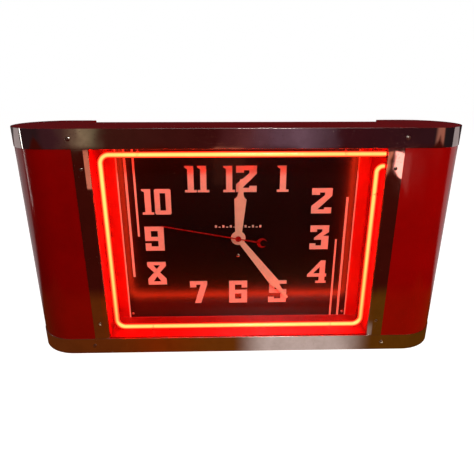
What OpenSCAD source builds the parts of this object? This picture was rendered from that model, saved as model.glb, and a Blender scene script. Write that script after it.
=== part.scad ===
// Service station advertising clock.
// A wide sheet-metal wall clock: a red enamelled centre case and two half-round end shells,
// tied together by bright bands and strips, with one loop of neon tube in front of a black dial.
// Frame: origin at the middle of the base, +X to the right seen from the front,
// +Y towards the wall, +Z up. All sizes are millimetres.
// Depths are measured from the outer face of the bands, growing towards the wall.

/* [Cabinet] */
// overall width over the half-round ends
body_w = 813; // [770:1:980]
// overall height
body_h = 438; // [425:1:530]
// depth of the end shells with their bands
body_d = 156; // [148:1:190]
// depth of the centre case, which ends short of the wall
case_d = 116; // [115:1:140]
// half width of the centre case, where the end shells start
seam_x = 280; // [278:1:292]
// thickness of the cabinet sheet
sheet_t = 1; // [0.8:0.1:1.4]
// gap left between sheet parts that slide into each other
sheet_gap = 0.15; // [0.05:0.05:0.3]
// height of the turned flanges of the centre case
flange_h = 14; // [12:1:18]
// thickness of the removable back panel
panel_t = 1.2; // [0.8:0.1:1.4]

/* [Bright trim] */
// thickness of the bands
band_t = 1; // [0.8:0.1:1.4]
// height of the top band
band_top_h = 34; // [28:1:44]
// height of the bottom band
band_bottom_h = 33; // [28:1:44]
// distance of the band ends from the middle, on the wall side
band_end_x = 290; // [286:1:300]
// width of the flat outer face of the upright strips
strip_face = 19.5; // [15:0.5:21]
// width of the sloping inner face of the upright strips
strip_bevel = 8.5; // [6:0.5:10]
// how far the sloping face runs back
strip_drop = 2; // [1:0.1:2]
// height of every visible screw head
head_h = 1.6; // [1:0.1:2]
// radius of the band screw heads
head_r = 3.8; // [3:0.1:5]
// radius of the small screw shanks
shank_r = 1.5; // [1:0.1:2]
// radial clearance of the small screws in their holes
screw_gap = 0.1; // [0.05:0.05:0.3]

/* [Front opening] */
// half width of the opening between the upright strips
open_x = 256; // [250:1:262]
// how far the front frame stays behind the edge of the strips
frame_lip = 9; // [8.5:0.5:11]
// overlap of the glass outside the opening
glass_lap = 16; // [14:1:17]
// overlap of the glass above and below the opening
glass_lap_z = 12; // [10:1:14]
// thickness of the cover glass
glass_t = 2.5; // [2:0.5:3]
// thickness of the rubber strip in front of the glass
gasket_t = 1.2; // [1.2:0.1:2]
// width of the rubber strip
gasket_w = 6; // [4:1:6]
// thickness of the recess walls
recess_t = 0.8; // [0.6:0.1:1.2]
// width of the flange that carries the dial
recess_flange = 35; // [33:1:40]

/* [Dial] */
// depth of the dial face
dial_depth = 80; // [76:1:81]
// thickness of the dial plate
dial_t = 1; // [0.8:0.1:1.2]
// gap round the edge of the dial plate
dial_gap = 0.4; // [0.2:0.1:1]
// thickness of the printed figures
print_t = 0.25; // [0.1:0.05:0.4]
// how far the dial centre lies below the middle of the opening
dial_drop = 3; // [0:0.5:6]
// how far the figures are printed below the dial centre
print_drop = 2; // [0:0.5:4]
// how far the upper row is printed to the right
upper_shift = 3.5; // [0:0.5:6]
// height of the figures
figure_h = 51.5; // [40:0.5:60]
// distance of the upper and lower figure rows from the centre
row_z = 121; // [118:1:135]
// distance of the outer figures of those rows from the middle
row_x = 83; // [78:1:95]
// distance of the right figure column from the middle
column_right_x = 164.5; // [160:0.5:170]
// distance of the left figure column from the middle
column_left_x = 168; // [160:0.5:172]
// spacing of the figures in the side columns
column_z = 76.5; // [70:0.5:84]
// gap between the two digits of one figure
digit_gap = 2; // [2:0.5:6]
// distance of the long outer line from the middle
bar_outer_x = 231; // [226:1:236]
// distance of the middle line from the middle
bar_middle_x = 215; // [211:1:220]
// distance of the inner line from the middle
bar_inner_x = 199; // [196:1:204]

/* [Neon tube] */
// outer diameter of the glass tube
tube_d = 10; // [8:0.5:11]
// wall of the glass tube
tube_wall = 1; // [0.8:0.1:1.5]
// depth of the tube's centre line
tube_depth = 13; // [12.5:0.5:20]
// distance of the upper run below the top of the opening
tube_top_gap = 11.5; // [8:0.5:14]
// distance of the lower run above the bottom of the opening
tube_bottom_gap = 19.5; // [14:0.5:24]
// distance of the left run from the side wall
tube_left_gap = 15; // [12:0.5:20]
// distance of the right run from the side wall
tube_right_gap = 13; // [11:0.5:16]
// bend radius of the tube
tube_bend = 16; // [12:1:20]
// height between the two ends that leave through the side wall
tube_end_drop = 21.5; // [20:0.5:34]
// diameter of the wide glass round each electrode
electrode_d = 15; // [13:0.5:16]
// length of that wide glass
electrode_l = 55; // [45:1:60]
// distance of the upper electrode from the middle
electrode_upper_x = 302; // [300:1:306]
// distance of the lower electrode from the middle
electrode_lower_x = 330; // [326:1:336]
// height of the bead where a support meets the wall
support_base = 1.5; // [1:0.1:2]

/* [Transformer] */
// width of the transformer
trafo_w = 62; // [56:1:66]
// depth of the transformer
trafo_d = 72; // [60:1:78]
// height of the transformer
trafo_h = 92; // [80:1:120]
// distance of its middle plane from the middle of the clock
trafo_x = 316; // [314:1:320]
// depth of its middle plane
trafo_depth = 94; // [88:1:98]

/* [Hands] */
// length of the hour hand
hour_l = 120; // [100:1:126]
// length of the minute hand
minute_l = 169; // [140:1:170]
// length of the second hand
second_l = 155; // [130:1:170]
// time shown: turn of the hour hand in degrees
hour_turn = 3; // [0:1:359]
// time shown: turn of the minute hand in degrees
minute_turn = 142.5; // [0:0.5:359]
// time shown: turn of the second hand in degrees
second_turn = 280.5; // [0:0.5:359]
// thickness of the hands
hand_t = 0.8; // [0.6:0.1:1]
// depth of the second hand
second_depth = 68; // [67.5:0.1:68.5]
// depth of the minute hand
minute_depth = 71; // [70.8:0.1:71.4]
// depth of the hour hand
hour_depth = 74; // [73.6:0.1:74.6]

/* [Movement] */
// radius of the second hand's arbor
arbor_r = 1; // [0.8:0.1:1.1]
// wall of the minute tube
minute_wall = 0.94; // [0.8:0.02:1]
// wall of the hour pipe
hour_wall = 1.14; // [0.9:0.02:1.2]
// radial running clearance of every arbor and pipe
run_gap = 0.06; // [0.03:0.01:0.1]
// module of the gears under the dial
motion_mod = 0.75; // [0.7:0.05:0.75]
// thickness of the movement plates
plate_t = 1.5; // [1:0.1:1.8]
// depth of the front plate
plate_depth = 88; // [87.5:0.5:89]
// distance between the two plates
plate_space = 10.5; // [10.5:0.1:11]
// distance of the movement screws above and below the centre
post_z = 40; // [38:1:41]
// diameter of the motor can
can_d = 22; // [18:1:22]
// length of the motor can
can_l = 9.5; // [8:0.5:10]
// diameter of the setting knob
knob_d = 20; // [14:1:24]
// length of the setting knob
knob_l = 9; // [7:1:11]

/* [Wall fixing] */
// distance between the two hanging holes
hang_spacing = 610; // [604:1:620]
// radius of the round entry of a hanging hole
hang_r = 5.5; // [5:0.5:7]
// width of the slot above the entry
hang_slot = 5; // [4:0.5:5]
// distance of the round entries below the top
hang_down = 60; // [50:1:80]
// radius of the hole through the cord gland
gland_r = 4.2; // [3:0.1:5]
// distance of the cord gland from the middle
gland_x = 160; // [140:1:165]
// height of the cord gland
gland_z = 60; // [50:1:80]

/* [Hidden] */
$fn = 96;
front_y = -body_d / 2;
end_x = body_w / 2 - body_d / 2;
shell_r = body_d / 2 - band_t;
frame_d = band_t + sheet_t;
glass_d = frame_d + gasket_t;
recess_d = glass_d + glass_t;
dial_back = dial_depth + dial_t;
recess_end = dial_back + recess_t;
open_z0 = band_bottom_h;
open_z1 = body_h - band_top_h;
mid_z = (open_z0 + open_z1) / 2 - dial_drop;
panel_d = case_d - panel_t;
tube_r = tube_d / 2;
tube_z1 = open_z1 - tube_top_gap;
tube_z0 = open_z0 + tube_bottom_gap;
tube_x0 = -open_x + tube_left_gap;
tube_x1 = open_x - tube_right_gap;
tube_z2 = tube_z1 - tube_end_drop;
exit_bend = tube_right_gap - 1.5;
electrode_start = tube_depth + tube_bend + 8;
electrode_end = electrode_start + electrode_l;
lead_r = 2.5;
lead_bend = 9;
lead_depth = electrode_end + 12 + lead_bend;
trafo_top = sheet_t + 2 + trafo_h;
minute_r = arbor_r + run_gap + minute_wall;
hour_r = minute_r + run_gap + hour_wall;
rear_plate = plate_depth + plate_t + plate_space;
can_d0 = rear_plate + plate_t;
motion_cd = 20 * motion_mod;
minute_wheel_a = -60;
set_a = -80;
wheel_x = motion_cd * cos(minute_wheel_a);
wheel_z = motion_cd * sin(minute_wheel_a);
set_x = wheel_x + motion_cd * cos(set_a);
set_z = wheel_z + motion_cd * sin(set_a);
third_cd = 17;
second_mod = 0.5;
centre_mod = third_cd / 36;
rotor_mod = 0.7;
rotor_cd = 23 * rotor_mod;
rotor_a = 50;
rotor_x = rotor_cd * cos(rotor_a);
rotor_z = rotor_cd * sin(rotor_a);
motion_depth = plate_depth - 2.8;
wheel_phase = minute_wheel_a + 180 + 6;
set_shift = (set_a - wheel_phase) - 12 * floor((set_a - wheel_phase) / 12);

red = [0.42, 0.02, 0.03];
deep_red = [0.30, 0.01, 0.02];
bright = [0.80, 0.80, 0.78];
cream = [0.93, 0.72, 0.55];
black = [0.03, 0.02, 0.02];
brass = [0.72, 0.56, 0.25];
steel = [0.62, 0.62, 0.60];
neon = [1.00, 0.55, 0.15];
rubber = [0.08, 0.08, 0.08];

// ---- helpers: a front view drawing, a plan drawing, and round bars along each axis ----
module face(d0, d1) {
  translate([0, front_y + d1, 0])
    rotate([90, 0, 0])
      linear_extrude(height = d1 - d0)
        children();
}

module plan(z0, z1) {
  translate([0, front_y, z0])
    linear_extrude(height = z1 - z0)
      children();
}

module box(x0, x1, d0, d1, z0, z1) {
  translate([x0, front_y + d0, z0])
    cube([x1 - x0, d1 - d0, z1 - z0]);
}

module bar_y(x, z, d0, d1, r) {
  translate([x, front_y + d0, z])
    rotate([-90, 0, 0])
      cylinder(h = d1 - d0, r = r);
}

module bar_x(x0, x1, d, z, r) {
  translate([x0, front_y + d, z])
    rotate([0, 90, 0])
      cylinder(h = x1 - x0, r = r);
}

module bar_z(x, d, z0, z1, r) {
  translate([x, front_y + d, z0])
    cylinder(h = z1 - z0, r = r);
}

module mirror_x() {
  children();
  mirror([1, 0, 0])
    children();
}

module rect(x0, x1, z0, z1) {
  translate([x0, z0])
    square([x1 - x0, z1 - z0]);
}

// a slotted screw seen from the front: head before d, shank behind it
module front_screw(x, z, d, hr, hh, l, turn) {
  difference() {
    translate([x, front_y + d, z])
      rotate([90, 0, 0])
        cylinder(h = hh, r1 = hr, r2 = hr * 0.72);
    translate([x, front_y + d - hh, z])
      rotate([0, turn, 0])
        cube([hr * 2.4, hh * 0.9, hr * 0.26], center = true);
  }
  bar_y(x, z, d, d + l, shank_r);
}

module rear_screw(x, z, d, hr, hh, l, turn) {
  difference() {
    translate([x, front_y + d, z])
      rotate([-90, 0, 0])
        cylinder(h = hh, r1 = hr, r2 = hr * 0.72);
    translate([x, front_y + d + hh, z])
      rotate([0, turn, 0])
        cube([hr * 2.4, hh * 0.9, hr * 0.26], center = true);
  }
  bar_y(x, z, d - l, d, shank_r);
}

// a countersunk screw from behind, its slotted head flush with depth d
module flush_screw(x, z, d, hr, l, turn) {
  difference() {
    countersink(x, z, d, hr, 0);
    translate([x, front_y + d, z])
      rotate([0, turn, 0])
        cube([hr * 2.4, 1.4, hr * 0.26], center = true);
  }
  bar_y(x, z, d - l, d - hr + shank_r, shank_r);
}

// a right-angled cone that ends at depth d with radius hr, made wider by gap
module countersink(x, z, d, hr, gap) {
  translate([x, front_y + d - hr + shank_r, z])
    rotate([-90, 0, 0])
      cylinder(h = hr - shank_r, r1 = shank_r + gap, r2 = hr + gap);
}

// ---- cabinet ----
case_x = seam_x - sheet_gap;
flange_d = panel_d - sheet_t;
panel_xs = [-250, 0, 250];
strip_screw_x = open_x + strip_bevel + strip_face * 0.34;
strip_screw_zs = [open_z0 + 33, open_z1 - 35];
recess_screw_x = open_x + glass_lap + 2.6;
recess_screw_zs = [open_z0 + 30, (open_z0 + open_z1) / 2, open_z1 - 30];

module center_case() {
  color(red) {
    difference() {
      box(-case_x, case_x, band_t, frame_d, 0, body_h);
      box(-open_x - frame_lip, open_x + frame_lip, 0, case_d, open_z0, open_z1);
      for (sx = [-1, 1], z = strip_screw_zs)
        bar_y(sx * strip_screw_x, z, 0, frame_d + 1, shank_r + screw_gap);
    }
    box(-case_x, case_x, frame_d, case_d, body_h - sheet_t, body_h);
    box(-case_x, case_x, frame_d, case_d, 0, sheet_t);
    difference() {
      union() {
        mirror_x()
          box(case_x - sheet_t, case_x, frame_d, flange_d, sheet_t, sheet_t + flange_h);
        mirror_x()
          box(case_x - sheet_t, case_x, frame_d, flange_d, body_h - sheet_t - flange_h, body_h - sheet_t);
      }
      for (sx = [-1, 1], d = [30, 84], z = [sheet_t + 7, body_h - sheet_t - 7])
        bar_x(sx * case_x - 4, sx * case_x + 4, d, z, shank_r + screw_gap);
    }
    difference() {
      union() {
        box(-case_x, case_x, flange_d, panel_d, sheet_t, sheet_t + flange_h);
        box(-case_x, case_x, flange_d, panel_d, body_h - sheet_t - flange_h, body_h - sheet_t);
      }
      for (x = panel_xs, z = [sheet_t + 7, body_h - sheet_t - 7])
        bar_y(x, z, flange_d - 1, case_d, shank_r + screw_gap);
    }
  }
}

wall_in = band_t + sheet_t;
window_z = 16;
module end_shell() {
  difference() {
    union() {
      // half-round end wall
      translate([end_x, 0, 0])
        rotate_extrude(angle = 180, start = -90)
          translate([shell_r - sheet_t, 0])
            square([sheet_t, body_h]);
      // flat front wall and flat wall-side wall
      box(seam_x, end_x, band_t, wall_in, 0, body_h);
      box(seam_x, end_x, body_d - wall_in, body_d - band_t, 0, body_h);
      // top and bottom
      for (z = [0, body_h - sheet_t]) {
        translate([end_x, 0, z])
          rotate_extrude(angle = 180, start = -90)
            square([shell_r - sheet_t, sheet_t]);
        box(seam_x, end_x, wall_in, body_d - wall_in, z, z + sheet_t);
      }
      // inner wall with its wide wiring window
      difference() {
        box(seam_x, seam_x + sheet_t, wall_in, body_d - wall_in, sheet_t, body_h - sheet_t);
        box(seam_x - 5, seam_x + 5, 5, case_d - 12, window_z, body_h - window_z);
      }
    }
    for (d = [30, 84], z = [sheet_t + 7, body_h - sheet_t - 7])
      bar_x(seam_x - 4, seam_x + 4, d, z, shank_r + screw_gap);
    for (z = [band_bottom_h / 2, body_h - band_top_h / 2]) {
      bar_y(seam_x + 6.5, z, 0, 10, shank_r + screw_gap);
      bar_y(band_end_x + 6, z, body_d - 10, body_d, shank_r + screw_gap);
      countersink(band_end_x + 6, z, body_d, head_r, screw_gap);
    }
    // keyhole for hanging
    bar_y(hang_spacing / 2, body_h - hang_down, body_d - 10, body_d, hang_r);
    bar_y(hang_spacing / 2, body_h - hang_down + 12, body_d - 10, body_d, hang_slot / 2);
    translate([hang_spacing / 2 - hang_slot / 2, front_y + body_d - 10, body_h - hang_down])
      cube([hang_slot, 10, 12]);
  }
}

module right_end_shell() {
  color(red)
    difference() {
      end_shell();
      for (x = [trafo_x - trafo_w / 2 + 7, trafo_x + trafo_w / 2 - 7])
        for (d = [trafo_depth - trafo_d / 2 + 8, trafo_depth + trafo_d / 2 - 8])
          bar_z(x, d, -1, sheet_t + 1, shank_r + screw_gap);
    }
}

module left_end_shell() {
  color(red)
    mirror([1, 0, 0])
      end_shell();
}

module back_panel() {
  color(red)
    difference() {
      box(-case_x + 0.3, case_x - 0.3, panel_d, case_d, sheet_t + sheet_gap, body_h - sheet_t - sheet_gap);
      for (x = panel_xs, z = [sheet_t + 7, body_h - sheet_t - 7])
        bar_y(x, z, flange_d - 1, case_d + 1, shank_r + screw_gap);
      bar_y(set_x, mid_z + set_z, panel_d - 1, case_d + 1, 5);
      bar_y(gland_x, gland_z, panel_d - 1, case_d + 1, gland_r + 2.4);
    }
}

module band(z0, z1) {
  difference() {
    union() {
      box(-end_x, end_x, 0, band_t, z0, z1);
      mirror_x() {
        translate([end_x, 0, z0])
          rotate_extrude(angle = 180, start = -90)
            translate([shell_r, 0])
              square([band_t, z1 - z0]);
        box(band_end_x, end_x, body_d - band_t, body_d, z0, z1);
      }
    }
    for (sx = [-1, 1]) {
      bar_y(sx * (seam_x + 6.5), (z0 + z1) / 2, -1, 10, shank_r + screw_gap);
      bar_y(sx * (band_end_x + 6), (z0 + z1) / 2, body_d - 10, body_d + 1, shank_r + screw_gap);
      countersink(sx * (band_end_x + 6), (z0 + z1) / 2, body_d, head_r, screw_gap);
    }
  }
}

module top_band() {
  color(bright)
    band(body_h - band_top_h, body_h);
}

module bottom_band() {
  color(bright)
    band(0, band_bottom_h);
}

module strip() {
  x0 = open_x;
  x1 = open_x + strip_bevel;
  x2 = x1 + strip_face;
  difference() {
    plan(open_z0 + sheet_gap, open_z1 - sheet_gap)
      polygon([[x2, 0], [x1, 0], [x0, strip_drop], [x0, strip_drop + 0.9], [x1, band_t], [x2, band_t]]);
    for (z = strip_screw_zs)
      bar_y(strip_screw_x, z, -1, 10, shank_r + screw_gap);
  }
}

module right_pilaster() {
  color(bright)
    strip();
}

module left_pilaster() {
  color(bright)
    mirror([1, 0, 0])
      strip();
}

module band_screws() {
  color(steel)
    for (sx = [-1, 1], z = [band_bottom_h / 2, body_h - band_top_h / 2]) {
      front_screw(sx * (seam_x + 6.5), z, 0, head_r, head_h, wall_in + 5, sx * 40 + z);
      flush_screw(sx * (band_end_x + 6), z, body_d, head_r, wall_in + 5, sx * 20 - z);
    }
}

module pilaster_screws() {
  color(steel)
    for (sx = [-1, 1], z = strip_screw_zs)
      front_screw(sx * strip_screw_x, z, 0, head_r * 0.8, head_h * 0.8, frame_d, sx * 25 + z);
}

module back_panel_screws() {
  color(steel)
    for (x = panel_xs, z = [sheet_t + 7, body_h - sheet_t - 7])
      rear_screw(x, z, case_d, head_r, head_h, panel_t + sheet_t + 4, x + z);
}

// machine screws with nuts that tie the end shells to the centre case
module shell_screws() {
  color(steel)
    for (sx = [-1, 1], d = [30, 84], z = [sheet_t + 7, body_h - sheet_t - 7])
      scale_x(sx) {
        bar_x(case_x - sheet_t - 2.4, case_x - sheet_t, d, z, 3);
        bar_x(case_x - sheet_t, seam_x + sheet_t + 5, d, z, shank_r);
        bar_x(seam_x + sheet_t, seam_x + sheet_t + 2.5, d, z, 3);
      }
}

module scale_x(s) {
  if (s > 0)
    children();
  else
    mirror([1, 0, 0])
      children();
}

// ---- glass and recess ----
module window_ring(grow, w) {
  difference() {
    rect(-open_x - grow, open_x + grow, open_z0 - grow + glass_lap - glass_lap_z,
         open_z1 + grow - glass_lap + glass_lap_z);
    rect(-open_x - grow + w, open_x + grow - w, open_z0 - grow + glass_lap - glass_lap_z + w,
         open_z1 + grow - glass_lap + glass_lap_z - w);
  }
}

module glass_gasket() {
  color(rubber)
    face(frame_d, glass_d)
      window_ring(glass_lap, gasket_w);
}

module front_glass() {
  color([0.85, 0.92, 0.90, 0.3])
    face(glass_d, recess_d)
      rect(-open_x - glass_lap, open_x + glass_lap, open_z0 - glass_lap_z, open_z1 + glass_lap_z);
}

dial_screw_x = open_x - 31;
dial_screw_zs = [open_z0 + 10, open_z1 - 9];
module shadow_box() {
  color(deep_red)
    difference() {
      union() {
        // four walls
        face(recess_d, recess_end)
          difference() {
            rect(-open_x - recess_t, open_x + recess_t, open_z0 - recess_t, open_z1 + recess_t);
            rect(-open_x, open_x, open_z0, open_z1);
          }
        // flange behind the glass
        face(recess_d, recess_d + recess_t)
          difference() {
            rect(-open_x - glass_lap - 5, open_x + glass_lap + 5, open_z0 - glass_lap_z - 5,
                 open_z1 + glass_lap_z + 5);
            rect(-open_x, open_x, open_z0, open_z1);
          }
        // flange behind the dial
        face(dial_back, recess_end)
          difference() {
            rect(-open_x, open_x, open_z0, open_z1);
            rect(-open_x + recess_flange, open_x - recess_flange, open_z0 + recess_flange,
                 open_z1 - recess_flange);
          }
      }
      for (z = [tube_z1, tube_z2])
        bar_x(open_x - 5, open_x + 5, tube_depth, z, tube_r + 0.9);
      for (sx = [-1, 1], z = dial_screw_zs)
        bar_y(sx * dial_screw_x, z, dial_back - 1, recess_end + 1, shank_r + screw_gap);
      for (sx = [-1, 1], z = recess_screw_zs)
        bar_y(sx * recess_screw_x, z, 0, recess_d + 2, shank_r + screw_gap);
    }
}

// screws and distance sleeves that pull the recess against the glass
module recess_screws() {
  color(steel)
    for (sx = [-1, 1], z = recess_screw_zs)
      rear_screw(sx * recess_screw_x, z, recess_d + recess_t, 2.4, 1.6, recess_t + glass_t + gasket_t, z);
}

// ---- dial ----
module dial_plate() {
  color(black)
    difference() {
      box(-open_x + dial_gap, open_x - dial_gap, dial_depth, dial_back, open_z0 + dial_gap, open_z1 - dial_gap);
      bar_y(0, mid_z, dial_depth - 1, dial_back + 1, hour_r + 1);
      for (sx = [-1, 1], z = dial_screw_zs)
        bar_y(sx * dial_screw_x, z, dial_depth - 1, dial_back + 1, shank_r + screw_gap);
      for (s = [-1, 1])
        bar_y(0, mid_z + s * post_z, dial_depth - 1, dial_back + 1, 2 + screw_gap);
    }
}

// figure outlines in hundredths: x across the figure, y down from its top
one = [[24, 0], [77, 0], [77, 91], [100, 91], [100, 100], [0, 100], [0, 91], [24, 91], [24, 12],
       [0, 6], [0, 0]];
two = [[0, 0], [100, 0], [100, 30], [30, 84], [64, 84], [64, 76], [100, 76], [100, 100], [0, 100],
       [0, 70], [64, 28], [64, 17], [38, 17], [38, 26], [0, 26]];
three = [[0, 0], [100, 0], [100, 28], [70, 44], [100, 44], [100, 100], [0, 100], [0, 75], [32, 75],
         [32, 84], [62, 84], [62, 60], [22, 60], [22, 52], [64, 26], [64, 16], [36, 16], [36, 27], [0, 27]];
four = [[68, 0], [92, 0], [92, 58], [100, 58], [100, 72], [92, 72], [92, 90], [100, 90], [100, 100],
        [45, 100], [45, 90], [62, 90], [62, 72], [0, 72], [0, 62]];
four_hole = [[30, 57], [64, 28], [64, 57]];
five = [[4, 0], [100, 0], [100, 16], [34, 16], [34, 40], [100, 40], [100, 100], [0, 100], [0, 75],
        [32, 75], [32, 83], [68, 83], [68, 57], [4, 57]];
six = [[0, 0], [100, 0], [100, 31], [69, 31], [69, 18], [32, 18], [32, 41], [100, 41], [100, 100], [0, 100]];
six_hole = [[32, 58], [68, 58], [68, 82], [32, 82]];
seven = [[0, 0], [100, 0], [100, 15], [62, 100], [26, 100], [62, 16], [36, 16], [36, 28], [0, 28]];
eight = [[0, 0], [100, 0], [100, 18], [66, 46], [100, 74], [100, 100], [0, 100], [0, 74], [34, 46], [0, 18]];
eight_top = [[32, 14], [68, 14], [50, 31]];
eight_low = [[28, 86], [50, 63], [72, 86]];
zero = [[6, 0], [94, 0], [100, 5], [100, 95], [94, 100], [6, 100], [0, 95], [0, 5]];
zero_hole = [[33, 16], [67, 16], [67, 84], [33, 84]];

module outline(w, points, holes = []) {
  scale_w = w / 100;
  scale_h = figure_h / 100;
  difference() {
    polygon([for (p = points) [(p[0] - 50) * scale_w, (50 - p[1]) * scale_h]]);
    for (h = holes)
      polygon([for (p = h) [(p[0] - 50) * scale_w, (50 - p[1]) * scale_h]]);
  }
}

one_w = 22.5;
wide_w = 38;
zero_w = 32;
module digit(n) {
  if (n == 0) outline(zero_w, zero, [zero_hole]);
  if (n == 1) outline(one_w, one);
  if (n == 2) outline(wide_w + 2, two);
  if (n == 3) outline(wide_w, three);
  if (n == 4) outline(wide_w + 2, four, [four_hole]);
  if (n == 5) outline(wide_w, five);
  if (n == 6) outline(wide_w, six, [six_hole]);
  if (n == 7) outline(wide_w - 2, seven);
  if (n == 8) outline(wide_w, eight, [eight_top, eight_low]);
  if (n == 9) rotate(180) outline(wide_w, six, [six_hole]);
}

// two digits side by side, centred on their total width
module pair(a, b, wa, wb) {
  total = wa + digit_gap + wb;
  translate([-total / 2 + wa / 2, 0])
    digit(a);
  translate([total / 2 - wb / 2, 0])
    digit(b);
}

module dial_numerals() {
  color(cream)
    face(dial_depth - print_t, dial_depth)
      translate([0, mid_z - print_drop]) {
        translate([upper_shift, row_z])
          pair(1, 2, one_w, wide_w + 2);
        translate([row_x + upper_shift, row_z])
          digit(1);
        translate([upper_shift - row_x, row_z])
          pair(1, 1, one_w, one_w);
        translate([column_right_x, column_z])
          digit(2);
        translate([column_right_x, 0])
          digit(3);
        translate([column_right_x, -column_z])
          digit(4);
        translate([row_x, -row_z])
          digit(5);
        translate([0, -row_z])
          digit(6);
        translate([-row_x, -row_z])
          digit(7);
        translate([-column_left_x, -column_z])
          digit(8);
        translate([-column_left_x, 0])
          digit(9);
        translate([-column_left_x + 8.5, column_z])
          pair(1, 0, one_w, zero_w);
      }
}

bar_cut = dial_gap + 0.1;
module dial_bars() {
  color(cream)
    face(dial_depth - print_t, dial_depth) {
      z0 = open_z0 + bar_cut;
      z1 = open_z1 - bar_cut;
      for (sx = [-1, 1])
        rect(sx * bar_outer_x - 1.25, sx * bar_outer_x + 1.25, z0, z1);
      rect(-bar_middle_x - 2.25, -bar_middle_x + 2.25, mid_z - 86, z1);
      rect(-bar_inner_x - 2, -bar_inner_x + 2, mid_z + 3, z1);
      rect(bar_middle_x - 2.25, bar_middle_x + 2.25, z0, mid_z + 82);
      rect(bar_inner_x - 2, bar_inner_x + 2, z0, mid_z - 6);
    }
}

// a plain row of short strokes under the upper figures
module dial_ornament() {
  color(cream)
    face(dial_depth - print_t, dial_depth)
      for (i = [-6 : 6])
        rect(i * 7.4 - 2, i * 7.4 + 2, mid_z + 20.5, mid_z + 22.5 + (i % 2 == 0 ? 3 : 0));
}

module dial_screws() {
  color(steel)
    for (sx = [-1, 1], z = dial_screw_zs)
      front_screw(sx * dial_screw_x, z, dial_depth, 3, 1.2, dial_t + recess_t + 3, sx * 30 + z);
}

module movement_screws() {
  color(steel)
    for (s = [-1, 1]) {
      front_screw(0, mid_z + s * post_z, dial_depth, 3.4, 1.6, 1, 20 + s * 35);
      bar_y(0, mid_z + s * post_z, dial_depth, plate_depth + plate_t + 4, 2);
      difference() {
        bar_y(0, mid_z + s * post_z, plate_depth + plate_t, plate_depth + plate_t + 2.5, 3.6);
        bar_y(0, mid_z + s * post_z, plate_depth + plate_t - 1, plate_depth + plate_t + 4, 1.9);
      }
    }
}

// ---- neon tube ----
module hollow_x(x0, x1, d, z, r, wall) {
  translate([x0, front_y + d, z])
    rotate([0, 90, 0])
      linear_extrude(height = x1 - x0)
        ring2d(r, wall);
}

module hollow_y(x, z, d0, d1, r, wall) {
  translate([x, front_y + d0, z])
    rotate([-90, 0, 0])
      linear_extrude(height = d1 - d0)
        ring2d(r, wall);
}

module hollow_z(x, d, z0, z1, r, wall) {
  translate([x, front_y + d, z0])
    linear_extrude(height = z1 - z0)
      ring2d(r, wall);
}

module ring2d(r, wall) {
  difference() {
    circle(r = r);
    circle(r = r - wall);
  }
}

// quarter bend in the front view: centre x, z, first angle
module bend_front(x, d, z, a, bend, r, wall) {
  translate([x, front_y + d, z])
    rotate([90, 0, 0])
      rotate_extrude(angle = 90, start = a)
        translate([bend, 0])
          ring2d(r, wall);
}

// quarter bend in plan: centre x, d, first angle
module bend_plan(x, d, z, a, bend, r, wall) {
  translate([x, front_y + d, z])
    rotate_extrude(angle = 90, start = a)
      translate([bend, 0])
        ring2d(r, wall);
}

// quarter bend in the side view, from +Y travel to -Z travel
module bend_side(x, d, z, bend, r) {
  translate([x, front_y + d, z])
    rotate([90, 0, 90])
      rotate_extrude(angle = 90, start = 0)
        translate([bend, 0])
          circle(r = r);
}

module neon_tube() {
  b = tube_bend;
  color(neon) {
    // upper run, left run, lower run, right run
    hollow_x(tube_x0 + b, electrode_upper_x - b, tube_depth, tube_z1, tube_r, tube_wall);
    bend_front(tube_x0 + b, tube_depth, tube_z1 - b, 90, b, tube_r, tube_wall);
    hollow_z(tube_x0, tube_depth, tube_z0 + b, tube_z1 - b, tube_r, tube_wall);
    bend_front(tube_x0 + b, tube_depth, tube_z0 + b, 180, b, tube_r, tube_wall);
    hollow_x(tube_x0 + b, tube_x1 - b, tube_depth, tube_z0, tube_r, tube_wall);
    bend_front(tube_x1 - b, tube_depth, tube_z0 + b, 270, b, tube_r, tube_wall);
    hollow_z(tube_x1, tube_depth, tube_z0 + b, tube_z2 - exit_bend, tube_r, tube_wall);
    bend_front(tube_x1 + exit_bend, tube_depth, tube_z2 - exit_bend, 90, exit_bend, tube_r, tube_wall);
    hollow_x(tube_x1 + exit_bend, electrode_lower_x - b, tube_depth, tube_z2, tube_r, tube_wall);
    // both ends turn towards the wall and widen round the electrodes
    for (e = [[electrode_upper_x, tube_z1], [electrode_lower_x, tube_z2]]) {
      bend_plan(e[0] - b, tube_depth + b, e[1], 270, b, tube_r, tube_wall);
      hollow_y(e[0], e[1], tube_depth + b, electrode_start, tube_r, tube_wall);
      difference() {
        bar_y(e[0], e[1], electrode_start, electrode_end, electrode_d / 2);
        bar_y(e[0], e[1], electrode_start + 1, electrode_end - 1, electrode_d / 2 - 1);
        bar_y(e[0], e[1], electrode_start - 1, electrode_start + 2, tube_r - tube_wall);
        bar_y(e[0], e[1], electrode_end - 2, electrode_end + 1, 1.1);
      }
    }
  }
}

module electrode_shells() {
  color(steel)
    for (e = [[electrode_upper_x, tube_z1], [electrode_lower_x, tube_z2]]) {
      difference() {
        bar_y(e[0], e[1], electrode_start + 6, electrode_end - 4, electrode_d / 2 - 2.2);
        bar_y(e[0], e[1], electrode_start + 5, electrode_end - 6, electrode_d / 2 - 2.9);
      }
      bar_y(e[0], e[1], electrode_end - 4, electrode_end + 6, 1);
    }
}

module electrode_boots() {
  color(rubber)
    for (e = [[electrode_upper_x, tube_z1], [electrode_lower_x, tube_z2]])
      difference() {
        bar_y(e[0], e[1], electrode_end - 12, electrode_end + 12, electrode_d / 2 + 1.8);
        bar_y(e[0], e[1], electrode_end - 13, electrode_end, electrode_d / 2 + 0.1);
        bar_y(e[0], e[1], electrode_end - 1, electrode_end + 7, 1.2);
      }
}

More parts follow.
